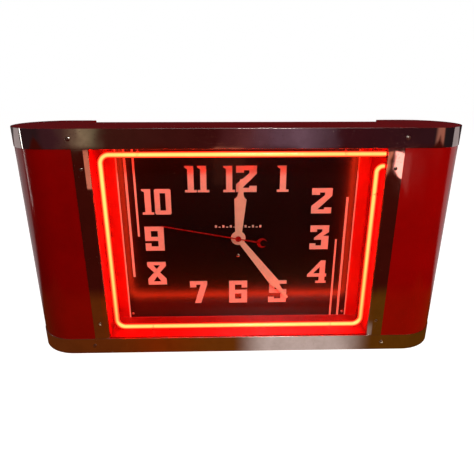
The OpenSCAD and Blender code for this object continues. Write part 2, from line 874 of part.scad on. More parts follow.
bushing_z = trafo_top + 18;
module high_lead(x, z) {
  color(rubber) {
    bar_y(x, z, electrode_end + 12, lead_depth - lead_bend, lead_r);
    bend_side(x, lead_depth - lead_bend, z - lead_bend, lead_bend, lead_r);
    bar_z(x, lead_depth, bushing_z, z - lead_bend, lead_r);
  }
}

module hv_lead_upper() {
  high_lead(electrode_upper_x, tube_z1);
}

module hv_lead_lower() {
  high_lead(electrode_lower_x, tube_z2);
}

// one stand for the tube, drawn below a tube that runs along X
module stand(gap) {
  rotate([0, 90, 0])
    translate([0, 0, -2.5])
      rotate_extrude(angle = 180, start = -90)
        translate([tube_r + 0.1, 0])
          square([1.3, 5]);
  translate([0, 0, -gap])
    cylinder(h = gap - tube_r - 0.6, r = 2.2);
  translate([0, 0, -gap])
    cylinder(h = support_base, r = 4.6);
}

stands_top = [-open_x * 0.685, open_x * 0.725];
stands_bottom = [-open_x * 0.665, open_x * 0.712];
stand_side_z = tube_z2 - 50;
module tube_supports() {
  color([0.86, 0.90, 0.88]) {
    for (x = stands_bottom)
      translate([x, front_y + tube_depth, tube_z0])
        stand(tube_bottom_gap);
    for (x = stands_top)
      translate([x, front_y + tube_depth, tube_z1])
        rotate([0, 180, 0])
          stand(tube_top_gap);
    translate([tube_x1, front_y + tube_depth, stand_side_z])
      rotate([0, -90, 0])
        stand(tube_right_gap);
  }
}

// a wire bail over the tube, on the open side of its stand
module tie() {
  rotate([0, 90, 0])
    rotate_extrude(angle = 178, start = 91)
      translate([tube_r + 0.55, 0])
        circle(r = 0.45);
}

module tube_ties() {
  color(steel) {
    for (x = stands_bottom)
      translate([x, front_y + tube_depth, tube_z0])
        tie();
    for (x = stands_top)
      translate([x, front_y + tube_depth, tube_z1])
        rotate([0, 180, 0])
          tie();
    translate([tube_x1, front_y + tube_depth, stand_side_z])
      rotate([0, -90, 0])
        tie();
  }
}

// rubber sleeves where the tube goes through the recess wall
module wall_bushings() {
  color(rubber)
    for (z = [tube_z1, tube_z2])
      difference() {
        union() {
          bar_x(open_x - 1.2, open_x + 4, tube_depth, z, tube_r + 0.8);
          bar_x(open_x - 1.2, open_x, tube_depth, z, tube_r + 1.4);
          bar_x(open_x + recess_t, open_x + recess_t + 1.2, tube_depth, z, tube_r + 1.4);
        }
        bar_x(open_x - 3, open_x + 6, tube_depth, z, tube_r + 0.1);
      }
}

// ---- transformer in the right end ----
module trafo_block(z0, z1, grow) {
  box(trafo_x - trafo_w / 2 - grow, trafo_x + trafo_w / 2 + grow,
      trafo_depth - trafo_d / 2 - grow, trafo_depth + trafo_d / 2 + grow, z0, z1);
}

core_z0 = sheet_t + 2 + trafo_h * 0.36;
core_z1 = sheet_t + 2 + trafo_h * 0.64;
module transformer_case() {
  color([0.10, 0.10, 0.11])
    difference() {
      union() {
        trafo_block(sheet_t, sheet_t + 2, 0);
        trafo_block(sheet_t + 2, core_z0 - 0.1, -2);
        trafo_block(core_z1 + 0.1, trafo_top, -2);
      }
      trafo_block(sheet_t + 4, core_z0 + 1, -4);
      trafo_block(core_z1 - 1, trafo_top - 2, -4);
      for (x = [trafo_x - trafo_w / 2 + 7, trafo_x + trafo_w / 2 - 7])
        for (d = [trafo_depth - trafo_d / 2 + 8, trafo_depth + trafo_d / 2 - 8])
          bar_z(x, d, 0, sheet_t + 5, shank_r + screw_gap);
      bar_z(electrode_upper_x, lead_depth, trafo_top - 5, trafo_top + 5, 3.1);
      bar_z(electrode_lower_x, lead_depth, trafo_top - 5, trafo_top + 5, 3.1);
    }
}

module transformer_core() {
  color([0.30, 0.30, 0.32])
    difference() {
      trafo_block(core_z0, core_z1, 0);
      trafo_block(core_z0 - 1, core_z1 + 1, -14);
    }
}

module transformer_coils() {
  color([0.55, 0.30, 0.12])
    difference() {
      trafo_block(core_z0 - 16, core_z1 + 16, -14.5);
      trafo_block(core_z0 - 18, core_z1 + 18, -24);
    }
}

module transformer_bushings() {
  color([0.90, 0.88, 0.82])
    for (x = [electrode_upper_x, electrode_lower_x])
      difference() {
        union() {
          bar_z(x, lead_depth, trafo_top - 4, trafo_top, 3);
          bar_z(x, lead_depth, trafo_top, trafo_top + 12, 6);
          bar_z(x, lead_depth, trafo_top + 12, bushing_z, 4);
        }
        bar_z(x, lead_depth, trafo_top - 5, trafo_top + 3, 1.5);
      }
}

module transformer_bolts() {
  color(steel)
    for (x = [trafo_x - trafo_w / 2 + 7, trafo_x + trafo_w / 2 - 7])
      for (d = [trafo_depth - trafo_d / 2 + 8, trafo_depth + trafo_d / 2 - 8]) {
        bar_z(x, d, 0.2, sheet_t + 3.9, shank_r);
      }
}

// ---- mains side ----
block_x0 = gland_x + 22;
block_x1 = block_x0 + 50;
block_z0 = gland_z - 10;
block_z1 = gland_z + 10;
block_d0 = min(panel_d - 20, can_d0 + 4);
module terminal_block() {
  color([0.85, 0.82, 0.72])
    difference() {
      box(block_x0, block_x1, block_d0, panel_d, block_z0, block_z1);
      for (i = [0 : 3])
        bar_y(block_x0 + 8 + i * 11, gland_z, block_d0 - 1, block_d0 + 6, 3);
    }
}

module terminal_screws() {
  color(brass)
    for (i = [0 : 3])
      bar_y(block_x0 + 8 + i * 11, gland_z, block_d0 + 2, block_d0 + 6, 2.6);
}

module cord_gland() {
  color(rubber)
    difference() {
      union() {
        bar_y(gland_x, gland_z, panel_d - 3, case_d + 3, gland_r + 2.3);
        bar_y(gland_x, gland_z, case_d, case_d + 3, gland_r + 4.8);
        bar_y(gland_x, gland_z, panel_d - 3, panel_d, gland_r + 4.8);
      }
      bar_y(gland_x, gland_z, panel_d - 5, case_d + 5, gland_r);
    }
}

coil_x = rotor_x;
coil_z = mid_z + rotor_z + 44;
wire_depth = can_d0 + 8.1;
wire_r = 1.1;
module motor_leads() {
  color([0.75, 0.70, 0.55])
    for (w = [[block_x0 + 8, coil_z - 3], [block_x0 + 19, coil_z + 3]]) {
      bar_x(coil_x + 10, w[0] - 8, wire_depth, w[1], wire_r);
      translate([w[0] - 8, front_y + wire_depth, w[1] - 8])
        rotate([90, 0, 0])
          rotate_extrude(angle = 90)
            translate([8, 0])
              circle(r = wire_r);
      bar_z(w[0], wire_depth, block_z1, w[1] - 8, wire_r);
    }
}

module transformer_leads() {
  color([0.75, 0.70, 0.55])
    for (z = [gland_z - 5, gland_z + 5])
      bar_x(block_x1, trafo_x - trafo_w / 2 + (z > core_z1 ? 2 : z < core_z0 ? 2 : 0), block_d0 + 3, z, wire_r);
}

// ---- movement ----
module gear(teeth, mod, h, phase, bore) {
  r = teeth * mod / 2;
  p = 360 / teeth;
  ra = r + 0.80 * mod;
  rr = r - 1.15 * mod;
  tooth = [[rr, -0.28], [ra, -0.10], [ra, 0.10], [rr, 0.28]];
  points = [for (i = [0 : teeth - 1], t = tooth)
            [t[0] * cos(phase + (i + t[1]) * p), t[0] * sin(phase + (i + t[1]) * p)]];
  difference() {
    linear_extrude(height = h)
      polygon(points);
    translate([0, 0, -1])
      cylinder(h = h + 2, r = bore);
  }
}

// a gear standing in the front view at x, z over the depth d0 to d1
module front_gear(x, z, d0, d1, teeth, mod, phase, bore) {
  translate([x, front_y + d1, mid_z + z])
    rotate([90, 0, 0])
      gear(teeth, mod, d1 - d0, phase, bore);
}

pillars = [[-23, -30], [23, -30], [-23, 30], [23, 30]];
module movement_front_plate() {
  color(brass) {
    difference() {
      box(-27, 27, plate_depth, plate_depth + plate_t, mid_z - 45, mid_z + 45);
      bar_y(0, mid_z, plate_depth - 1, plate_depth + 3, minute_r + run_gap);
      bar_y(-third_cd, mid_z, plate_depth - 1, plate_depth + 3, 1 + run_gap);
      bar_y(set_x, mid_z + set_z, plate_depth - 1, plate_depth + 3, 1.5 + run_gap);
      for (s = [-1, 1])
        bar_y(0, mid_z + s * post_z, plate_depth - 1, plate_depth + 3, 2 + screw_gap);
    }
    bar_y(wheel_x, mid_z + wheel_z, motion_depth - 3.2, plate_depth, 1.2);
  }
}

module movement_back_plate() {
  color(brass)
    difference() {
      box(-27, 27, rear_plate, rear_plate + plate_t, mid_z - 34, mid_z + 34);
      bar_y(0, mid_z, rear_plate - 1, rear_plate + 3, arbor_r + run_gap);
      bar_y(-third_cd, mid_z, rear_plate - 1, rear_plate + 3, 1 + run_gap);
      bar_y(set_x, mid_z + set_z, rear_plate - 1, rear_plate + 3, 1.5 + run_gap);
      bar_y(rotor_x, mid_z + rotor_z, rear_plate - 1, rear_plate + 3, 1.2 + run_gap);
    }
}

module movement_pillars() {
  color(brass) {
    for (p = pillars)
      bar_y(p[0], mid_z + p[1], plate_depth + plate_t, rear_plate, 2);
    for (s = [-1, 1])
      difference() {
        bar_y(0, mid_z + s * post_z, dial_back, plate_depth, 3.5);
        bar_y(0, mid_z + s * post_z, dial_back - 1, plate_depth + 1, 2 + screw_gap);
      }
  }
}

module motor_can() {
  color(steel)
    difference() {
      bar_y(rotor_x, mid_z + rotor_z, can_d0, can_d0 + can_l, can_d / 2);
      bar_y(rotor_x, mid_z + rotor_z, can_d0 - 1, can_d0 + 3, 1.2 + run_gap);
    }
}

module stator_laminations() {
  color([0.35, 0.35, 0.37])
    face(can_d0, can_d0 + 6)
      translate([rotor_x, mid_z + rotor_z])
        difference() {
          rect(-17, 17, -16, 48);
          circle(r = can_d / 2 + 0.1);
          rect(-9.2, 9.2, 16, 40);
        }
}

module stator_coil() {
  color([0.20, 0.18, 0.12])
    difference() {
      box(coil_x - 8.8, coil_x + 8.8, can_d0 - 4, can_d0 + 10, coil_z - 8, coil_z + 8);
      box(coil_x - 20, coil_x + 20, can_d0 - 0.1, can_d0 + 6.1, coil_z - 4.1, coil_z + 4.1);
    }
  color([0.20, 0.18, 0.12])
    box(coil_x + 8.8, coil_x + 10, can_d0 + 6.2, can_d0 + 10, coil_z - 8, coil_z + 8);
}

module rotor_pinion() {
  color(steel) {
    front_gear(rotor_x, rotor_z, rear_plate - 3.6, rear_plate - 1.4, 10, rotor_mod, rotor_a + 180, 1.15);
    bar_y(rotor_x, mid_z + rotor_z, rear_plate - 4, can_d0 + 2.8, 1.2);
  }
}

second_tip = second_depth - 0.8;
module second_arbor() {
  color(steel) {
    bar_y(0, mid_z, second_tip, rear_plate + plate_t - 0.1, arbor_r);
    front_gear(0, 0, plate_depth + 5.6, plate_depth + 7.4, 8, second_mod, 180, 0.9);
    front_gear(0, 0, rear_plate - 3, rear_plate - 2, 36, rotor_mod, rotor_a + 5, 0.9);
  }
}

module third_wheel() {
  color(brass) {
    bar_y(-third_cd, mid_z, plate_depth + 0.2, rear_plate + plate_t - 0.2, 1);
    front_gear(-third_cd, 0, plate_depth + 6, plate_depth + 7, 60, second_mod, 3, 0.9);
    front_gear(-third_cd, 0, plate_depth + 2.6, plate_depth + 4.4, 8, centre_mod, 0, 0.9);
  }
}

module centre_wheel() {
  color(brass)
    front_gear(0, 0, plate_depth + 3, plate_depth + 4, 64, centre_mod, 180 + 180 / 64, minute_r + run_gap);
}

module clutch_spring() {
  color(steel)
    difference() {
      union() {
        bar_y(0, mid_z, plate_depth + 4.1, plate_depth + 4.5, 6);
        bar_y(0, mid_z, plate_depth + 4.5, plate_depth + 5, 3.2);
      }
      bar_y(0, mid_z, plate_depth + 3, plate_depth + 6, minute_r);
      for (a = [0 : 60 : 300])
        translate([4.6 * cos(a), front_y + plate_depth + 4, mid_z + 4.6 * sin(a)])
          rotate([-90, 0, 0])
            cylinder(h = 1, r = 0.8);
    }
}

module minute_tube() {
  color(brass) {
    difference() {
      bar_y(0, mid_z, minute_depth - 1.8, plate_depth + 5, minute_r);
      bar_y(0, mid_z, minute_depth - 3, plate_depth + 6, arbor_r + run_gap);
    }
    difference() {
      bar_y(0, mid_z, plate_depth + plate_t + 0.2, plate_depth + 2.9, 3.4);
      bar_y(0, mid_z, plate_depth, plate_depth + 6, minute_r - 0.2);
    }
    front_gear(0, 0, motion_depth, motion_depth + 1.6, 10, motion_mod, minute_wheel_a, minute_r - 0.2);
  }
}

module minute_wheel() {
  color(brass) {
    front_gear(wheel_x, wheel_z, motion_depth, motion_depth + 1.6, 30, motion_mod, wheel_phase, 1.2 + run_gap);
    front_gear(wheel_x, wheel_z, motion_depth - 2.7, motion_depth, 8, motion_mod, minute_wheel_a + 180,
               1.2 + run_gap);
  }
}

hour_wheel_d = motion_depth - 2.2;
module hour_wheel() {
  color(brass) {
    difference() {
      bar_y(0, mid_z, hour_depth - 0.5, hour_wheel_d + 1, hour_r);
      bar_y(0, mid_z, hour_depth - 2, hour_wheel_d + 2, minute_r + run_gap);
    }
    front_gear(0, 0, hour_wheel_d, hour_wheel_d + 1, 32, motion_mod, minute_wheel_a + 180 / 32, hour_r - 0.2);
  }
}

module set_shaft() {
  color(steel) {
    bar_y(set_x, mid_z + set_z, motion_depth - 0.4, case_d + 3, 1.5);
    front_gear(set_x, set_z, motion_depth, motion_depth + 1.6, 10, motion_mod,
               set_a + 180 + 3 * set_shift + 18, 1.4);
  }
}

module set_knob() {
  color([0.12, 0.10, 0.09])
    difference() {
      union() {
        bar_y(set_x, mid_z + set_z, case_d + 1.5, case_d + 3.5, knob_d / 2 * 0.6);
        bar_y(set_x, mid_z + set_z, case_d + 3.5, case_d + 1.5 + knob_l, knob_d / 2);
      }
      bar_y(set_x, mid_z + set_z, case_d, case_d + 3.1, 1.52);
      for (i = [0 : 23])
        bar_y(set_x + (knob_d / 2 + 0.35) * cos(i * 15), mid_z + set_z + (knob_d / 2 + 0.35) * sin(i * 15),
              case_d + 3, case_d + 3 + knob_l, 0.8);
    }
}

// ---- hands, drawn pointing up and then turned to the time shown ----
module turned(depth, t, angle) {
  face(depth, depth + t)
    translate([0, mid_z])
      rotate(-angle)
        children();
}

module blade(l, shoulder, root_w, wide_w, neck_w, tip_w) {
  polygon([
    [-root_w / 2, 0],
    [-wide_w / 2, shoulder],
    [-wide_w * 0.36, shoulder + 2.5],
    [-neck_w * 0.58, shoulder + 6],
    [-neck_w / 2, shoulder + 10],
    [-tip_w / 2, l - 1],
    [-tip_w * 0.36, l],
    [tip_w * 0.36, l],
    [tip_w / 2, l - 1],
    [neck_w / 2, shoulder + 10],
    [neck_w * 0.58, shoulder + 6],
    [wide_w * 0.36, shoulder + 2.5],
    [wide_w / 2, shoulder],
    [root_w / 2, 0]
  ]);
}

module hour_hand() {
  color(cream)
    difference() {
      union() {
        turned(hour_depth, hand_t, hour_turn)
          blade(hour_l, hour_l * 0.67, 12, 24, 11, 5.6);
        bar_y(0, mid_z, hour_depth, hour_depth + hand_t, 14.6);
        bar_y(0, mid_z, hour_depth, hour_depth + 3, hour_r + 1.4);
      }
      bar_y(0, mid_z, hour_depth - 2, hour_depth + 5, hour_r + 0.02);
    }
}

module minute_hand() {
  color(cream)
    difference() {
      union() {
        turned(minute_depth, hand_t, minute_turn)
          blade(minute_l, minute_l * 0.757, 10, 20, 10, 5.6);
        bar_y(0, mid_z, minute_depth, minute_depth + hand_t, 9.5);
        bar_y(0, mid_z, minute_depth, minute_depth + 1.8, minute_r + 1.4);
      }
      bar_y(0, mid_z, minute_depth - 2, minute_depth + 5, minute_r + 0.02);
    }
}

module hand_nut() {
  color(brass)
    difference() {
      bar_y(0, mid_z, minute_depth - 1.4, minute_depth, 4);
      bar_y(0, mid_z, minute_depth - 3, minute_depth + 1, minute_r + 0.02);
    }
}

module second_hand() {
  color([0.75, 0.05, 0.04])
    difference() {
      union() {
        turned(second_depth, 0.6, second_turn) {
          polygon([[-1, -42], [-0.8, second_l], [0.8, second_l], [1, -42]]);
          difference() {
            translate([0, -48])
              circle(r = 10);
            translate([0, -51.5])
              circle(r = 7);
            translate([-12, -72])
              square([24, 15]);
          }
        }
        bar_y(0, mid_z, second_depth, second_depth + 0.6, 6);
        bar_y(0, mid_z, second_depth, second_depth + 0.9, arbor_r + 1);
      }
      bar_y(0, mid_z, second_depth - 2, second_depth + 4, arbor_r + 0.02);
    }
}

center_case();
left_end_shell();
right_end_shell();
back_panel();
top_band();
bottom_band();
left_pilaster();
right_pilaster();
band_screws();
pilaster_screws();
back_panel_screws();
shell_screws();
glass_gasket();
front_glass();
shadow_box();
recess_screws();
dial_plate();
dial_numerals();
dial_bars();
dial_ornament();
dial_screws();
movement_screws();
neon_tube();
electrode_shells();
electrode_boots();
hv_lead_upper();
hv_lead_lower();
tube_supports();
tube_ties();
wall_bushings();
transformer_case();
transformer_core();
transformer_coils();
transformer_bushings();
transformer_bolts();
terminal_block();
terminal_screws();
cord_gland();
motor_leads();
transformer_leads();
movement_front_plate();
movement_back_plate();
movement_pillars();
motor_can();
stator_laminations();
stator_coil();
rotor_pinion();
second_arbor();
third_wheel();
centre_wheel();
clutch_spring();
minute_tube();
minute_wheel();
hour_wheel();
set_shaft();
set_knob();
hour_hand();
minute_hand();
hand_nut();
second_hand();
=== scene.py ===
import math

import bmesh
import bpy
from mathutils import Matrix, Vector


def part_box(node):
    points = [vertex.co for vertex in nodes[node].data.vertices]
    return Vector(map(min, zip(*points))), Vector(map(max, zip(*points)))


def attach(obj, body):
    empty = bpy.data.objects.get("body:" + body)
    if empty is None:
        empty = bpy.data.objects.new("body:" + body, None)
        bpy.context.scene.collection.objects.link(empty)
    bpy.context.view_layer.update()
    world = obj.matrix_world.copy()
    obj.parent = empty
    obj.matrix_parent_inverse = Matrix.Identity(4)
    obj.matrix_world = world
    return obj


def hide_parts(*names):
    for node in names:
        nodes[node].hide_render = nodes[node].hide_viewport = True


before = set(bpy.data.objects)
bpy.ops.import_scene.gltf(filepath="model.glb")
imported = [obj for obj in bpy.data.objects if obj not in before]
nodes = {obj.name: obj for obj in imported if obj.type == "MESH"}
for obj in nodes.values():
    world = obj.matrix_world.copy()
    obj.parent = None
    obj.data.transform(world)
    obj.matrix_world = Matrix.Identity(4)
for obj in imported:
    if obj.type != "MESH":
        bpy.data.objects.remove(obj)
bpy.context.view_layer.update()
MM = 0.001


# ---- End shells ----------------------------------------------------------------------------
# Two half-round ends of 1 mm sheet steel, folded and spot-welded, then stove enamelled red.
# Each has a flat wall side with a keyhole, and a wide window towards the centre case.
def deselect_all():
    bpy.ops.object.select_all(action="DESELECT")


def edit(piece):
    deselect_all()
    piece.select_set(True)
    bpy.context.view_layer.objects.active = piece
    bpy.ops.object.mode_set(mode="EDIT")
    bpy.ops.mesh.select_all(action="SELECT")


def leave_edit():
    bpy.ops.object.mode_set(mode="OBJECT")


def face_outwards():
    """Turns every face of the piece outwards and leaves edit mode."""
    bpy.ops.mesh.select_all(action="SELECT")
    bpy.ops.mesh.normals_make_consistent(inside=False)
    leave_edit()


def settle(piece):
    """Puts the object's place, turn and size into its mesh."""
    deselect_all()
    piece.select_set(True)
    bpy.context.view_layer.objects.active = piece
    bpy.ops.object.transform_apply(location=True, rotation=True, scale=True)


def pick(piece, kind, test):
    """In edit mode, selects only the verts, edges or faces whose middle passes the test."""
    bpy.ops.mesh.select_all(action="DESELECT")
    bpy.ops.mesh.select_mode(type={"verts": "VERT", "edges": "EDGE", "faces": "FACE"}[kind])
    mesh = bmesh.from_edit_mesh(piece.data)
    for part in getattr(mesh, kind):
        if kind == "verts":
            chosen = test(part.co)
        elif kind == "edges":
            chosen = all(test(vert.co) for vert in part.verts)
        else:
            chosen = test(part.calc_center_median())
        part.select_set(chosen)
    bmesh.update_edit_mesh(piece.data)


def run(x=0.0, y=0.0, z=0.0):
    """Extrudes the selection straight on."""
    bpy.ops.mesh.extrude_region_move(TRANSFORM_OT_translate={"value": (x, y, z)})


def bend(centre, axis, degrees, steps):
    """Carries the selection round a centre, by the right-hand rule about the axis."""
    bpy.ops.mesh.spin(steps=steps, angle=-math.radians(degrees), center=centre, axis=axis)


def apply_modifier(piece, kind, **values):
    deselect_all()
    piece.select_set(True)
    bpy.context.view_layer.objects.active = piece
    modifier = piece.modifiers.new(kind.lower(), kind)
    for name, value in values.items():
        setattr(modifier, name, value)
    bpy.ops.object.modifier_apply(modifier=modifier.name)


def soften(piece, width, segments=3, angle=40):
    apply_modifier(piece, "BEVEL", width=width, segments=segments, limit_method="ANGLE",
                   angle_limit=math.radians(angle), miter_outer="MITER_ARC")


def cut_with(piece, cutter):
    apply_modifier(piece, "BOOLEAN", object=cutter, operation="DIFFERENCE", solver="EXACT")
    bpy.data.objects.remove(cutter)


def bore(piece, place, radius, depth, vertices=48, turn=(math.pi / 2, 0, 0)):
    """Cuts a round hole, which runs along Y unless it is turned."""
    deselect_all()
    bpy.ops.mesh.primitive_cylinder_add(vertices=vertices, radius=radius, depth=depth,
                                        rotation=turn, location=place)
    cut_with(piece, bpy.context.object)


def join(pieces, name):
    deselect_all()
    for piece in pieces:
        piece.select_set(True)
    bpy.context.view_layer.objects.active = pieces[0]
    bpy.ops.object.join()
    pieces[0].name = name
    return pieces[0]


def finish_piece(piece, name, material, body, *cad_nodes, angle=35):
    piece.name = name
    piece.data.name = name
    deselect_all()
    piece.select_set(True)
    bpy.context.view_layer.objects.active = piece
    bpy.ops.object.shade_smooth_by_angle(angle=math.radians(angle))
    apply_modifier(piece, "WEIGHTED_NORMAL", keep_sharp=True)
    piece.data.materials.clear()
    piece.data.materials.append(material)
    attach(piece, body)
    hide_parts(*cad_nodes)


def make_group(name, inputs, outputs):
    """An empty shader node group with float and vector sockets."""
    group = bpy.data.node_groups.new(name, "ShaderNodeTree")
    for label, kind, value in inputs:
        socket = group.interface.new_socket(label, in_out="INPUT", socket_type=kind)
        if value is not None:
            socket.default_value = value
    for label, kind in outputs:
        group.interface.new_socket(label, in_out="OUTPUT", socket_type=kind)
    return group, group.nodes.new("NodeGroupInput"), group.nodes.new("NodeGroupOutput")


def add_node(tree, kind, values=None, **links):
    """A node with its socket values by name and its links by input name."""
    node = tree.nodes.new(kind)
    for key, value in (values or {}).items():
        if key in node.inputs:
            node.inputs[key].default_value = value
        else:
            setattr(node, key, value)
    for key, source in links.items():
        tree.links.new(source, node.inputs[key.replace("_", " ")])
    return node


def math_node(tree, operation, a, b):
    node = tree.nodes.new("ShaderNodeMath")
    node.operation = operation
    for socket, value in zip(node.inputs, (a, b)):
        if isinstance(value, (int, float)):
            socket.default_value = value
        else:
            tree.links.new(value, socket)
    return node.outputs[0]


def ramp(tree, source, stops):
    """A colour ramp with stops of (place, grey or colour)."""
    node = tree.nodes.new("ShaderNodeValToRGB")
    elements = node.color_ramp.elements
    for index, (place, tone) in enumerate(stops):
        colour = (tone, tone, tone, 1) if isinstance(tone, (int, float)) else (*tone, 1)
        element = elements[index] if index < 2 else elements.new(place)
        element.position = place
        element.color = colour
    tree.links.new(source, node.inputs[0])
    return node.outputs[0]


def mix_colours(tree, factor, first, second):
    node = tree.nodes.new("ShaderNodeMix")
    node.data_type = "RGBA"
    for socket, value in ((node.inputs[0], factor), (node.inputs[6], first), (node.inputs[7], second)):
        if isinstance(value, (int, float)):
            socket.default_value = value
        elif isinstance(value, tuple):
            socket.default_value = (*value, 1)
        else:
            tree.links.new(value, socket)
    return node.outputs[2]


# soil: soft blotches of handling and dust, 0 to 1
soil_group, soil_in, soil_out = make_group(
    "soil", [("Vector", "NodeSocketVector", None), ("Scale", "NodeSocketFloat", 20.0)],
    [("Mask", "NodeSocketFloat")])
soil_noise = add_node(soil_group, "ShaderNodeTexNoise", {"Detail": 7.0, "Roughness": 0.68},
                      Vector=soil_in.outputs["Vector"], Scale=soil_in.outputs["Scale"])
soil_group.links.new(ramp(soil_group, soil_noise.outputs[0], [(0.42, 0.0), (0.78, 1.0)]),
                     soil_out.inputs["Mask"])

# hairlines: fine rubbed scratches, drawn out along one direction by Stretch
line_group, line_in, line_out = make_group(
    "hairlines", [("Vector", "NodeSocketVector", None), ("Stretch", "NodeSocketVector", (1, 1, 1))],
    [("Mask", "NodeSocketFloat")])
line_scaled = add_node(line_group, "ShaderNodeVectorMath", {"operation": "MULTIPLY"})
line_group.links.new(line_in.outputs["Vector"], line_scaled.inputs[0])
line_group.links.new(line_in.outputs["Stretch"], line_scaled.inputs[1])
line_noise = add_node(line_group, "ShaderNodeTexNoise", {"Scale": 1.0, "Detail": 4.0, "Roughness": 0.6},
                      Vector=line_scaled.outputs[0])
line_group.links.new(ramp(line_group, line_noise.outputs[0], [(0.58, 0.0), (0.72, 1.0)]),
                     line_out.inputs["Mask"])

# pits: small round specks of corrosion or dust
pit_group, pit_in, pit_out = make_group(
    "pits", [("Vector", "NodeSocketVector", None), ("Scale", "NodeSocketFloat", 300.0)],
    [("Mask", "NodeSocketFloat")])
pit_cells = add_node(pit_group, "ShaderNodeTexVoronoi", {},
                     Vector=pit_in.outputs["Vector"], Scale=pit_in.outputs["Scale"])
pit_patch = add_node(pit_group, "ShaderNodeTexNoise", {"Scale": 18.0, "Detail": 3.0},
                     Vector=pit_in.outputs["Vector"])
pit_dots = ramp(pit_group, pit_cells.outputs["Distance"], [(0.07, 1.0), (0.16, 0.0)])
pit_where = ramp(pit_group, pit_patch.outputs[0], [(0.50, 0.0), (0.68, 1.0)])
pit_group.links.new(math_node(pit_group, "MULTIPLY", pit_dots, pit_where), pit_out.inputs["Mask"])


def place_group(tree, group, where, values=None):
    node = tree.nodes.new("ShaderNodeGroup")
    node.node_tree = group
    tree.links.new(where, node.inputs["Vector"])
    for key, value in (values or {}).items():
        node.inputs[key].default_value = value
    return node.outputs[0]


def new_material(name, **sockets):
    material = bpy.data.materials.new(name)
    material.use_nodes = True
    tree = material.node_tree
    shader = tree.nodes["Principled BSDF"]
    for key, value in sockets.items():
        shader.inputs[key.replace("_", " ")].default_value = value
    where = tree.nodes.new("ShaderNodeTexCoord").outputs["Object"]
    return material, tree, shader, where


def set_roughness(tree, shader, base, *worn):
    """The base value, plus every mask times its share."""
    total = None
    for mask, share in worn:
        part = math_node(tree, "MULTIPLY", mask, share)
        total = part if total is None else math_node(tree, "ADD", total, part)
    tree.links.new(math_node(tree, "ADD", total, base), shader.inputs["Roughness"])


def add_bump(tree, shader, height, depth):
    bump = add_node(tree, "ShaderNodeBump", {"Strength": 1.0, "Distance": depth}, Height=height)
    tree.links.new(bump.outputs[0], shader.inputs["Normal"])


def add_grain(tree, shader, where, scale, detail, depth):
    """A bump of plain noise: orange peel, cast skin or the weave of cloth, by its scale."""
    grain = add_node(tree, "ShaderNodeTexNoise", {"Scale": scale, "Detail": detail}, Vector=where)
    add_bump(tree, shader, grain.outputs[0], depth)


def enamel(name, colour, dark, gloss=0.13, coat=0.5, peel=0.00008):
    """Stove enamel on sheet steel: deep colour, slight orange peel, soil and rubbed hairlines."""
    material, tree, shader, where = new_material(
        name, Coat_Weight=coat, Coat_Roughness=0.05, Specular_IOR_Level=0.5)
    soil = place_group(tree, soil_group, where, {"Scale": 14.0})
    fine_soil = place_group(tree, soil_group, where, {"Scale": 90.0})
    lines = place_group(tree, line_group, where, {"Stretch": (900, 900, 40)})
    specks = place_group(tree, pit_group, where, {"Scale": 420.0})
    tone = mix_colours(tree, soil, colour, dark)
    tone = mix_colours(tree, math_node(tree, "MULTIPLY", specks, 0.12), tone, (0.10, 0.03, 0.02))
    tree.links.new(tone, shader.inputs["Base Color"])
    set_roughness(tree, shader, gloss, (fine_soil, 0.10), (lines, 0.12))
    add_grain(tree, shader, where, 420.0, 2.0, peel)
    return material


enamel_red = enamel("red_stove_enamel", (0.46, 0.0006, 0.0005), (0.36, 0.0008, 0.0006))

shell_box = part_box("right_end_shell")
shell_radius = (shell_box[1][1] - shell_box[0][1]) / 2
shell_height = shell_box[1][2]
seam_x = shell_box[0][0]
end_x = shell_box[1][0] - shell_radius
sheet = 1.0 * MM
flange_width = 14 * MM
window_back = 37 * MM
keyhole_x = 305 * MM
keyhole_z = shell_height - 60 * MM
keyhole_r = 5.5 * MM

for side, side_name in ((-1, "left"), (1, "right")):
    deselect_all()
    bpy.ops.mesh.primitive_cylinder_add(vertices=176, radius=shell_radius, depth=shell_height,
                                        location=(side * end_x, 0, shell_height / 2))
    shell = bpy.context.object
    settle(shell)
    edit(shell)
    bpy.ops.mesh.bisect(plane_co=(side * end_x, 0, 0), plane_no=(side, 0, 0), clear_inner=True)
    pick(shell, "edges", lambda co: abs(co.x - side * end_x) < 1e-5)
    run(x=side * (seam_x - end_x))
    bpy.ops.mesh.edge_face_add()
    bpy.ops.mesh.inset(thickness=flange_width)
    # the window stops short of the strip that shows behind the centre case
    pick(shell, "verts", lambda co: abs(co.x - side * seam_x) < 1e-5 and co.y > 50 * MM
         and 5 * MM < co.z < shell_height - 5 * MM)
    bpy.ops.transform.translate(value=(0, -window_back, 0))
    pick(shell, "faces", lambda co: abs(co.x - side * seam_x) < 1e-5 and abs(co.y + window_back / 2) < 5 * MM
         and abs(co.z - shell_height / 2) < 10 * MM)
    bpy.ops.mesh.delete(type="FACE")
    face_outwards()
    soften(shell, 1.3 * MM, segments=4, angle=60)
    apply_modifier(shell, "SOLIDIFY", thickness=sheet, offset=-1, use_even_offset=True)
    bore(shell, (side * keyhole_x, shell_radius, keyhole_z), keyhole_r, 12 * MM)
    deselect_all()
    bpy.ops.mesh.primitive_cube_add(size=1, location=(side * keyhole_x, shell_radius, keyhole_z + 7 * MM))
    slot_cutter = bpy.context.object
    slot_cutter.scale = (5 * MM, 12 * MM, 14 * MM)
    settle(slot_cutter)
    edit(slot_cutter)
    pick(slot_cutter, "edges", lambda co: co.z > keyhole_z + 13 * MM)
    bpy.ops.mesh.bevel(offset=1.2 * MM, segments=3)
    leave_edit()
    cut_with(shell, slot_cutter)
    finish_piece(shell, side_name + "_end", enamel_red, "cabinet", side_name + "_end_shell")


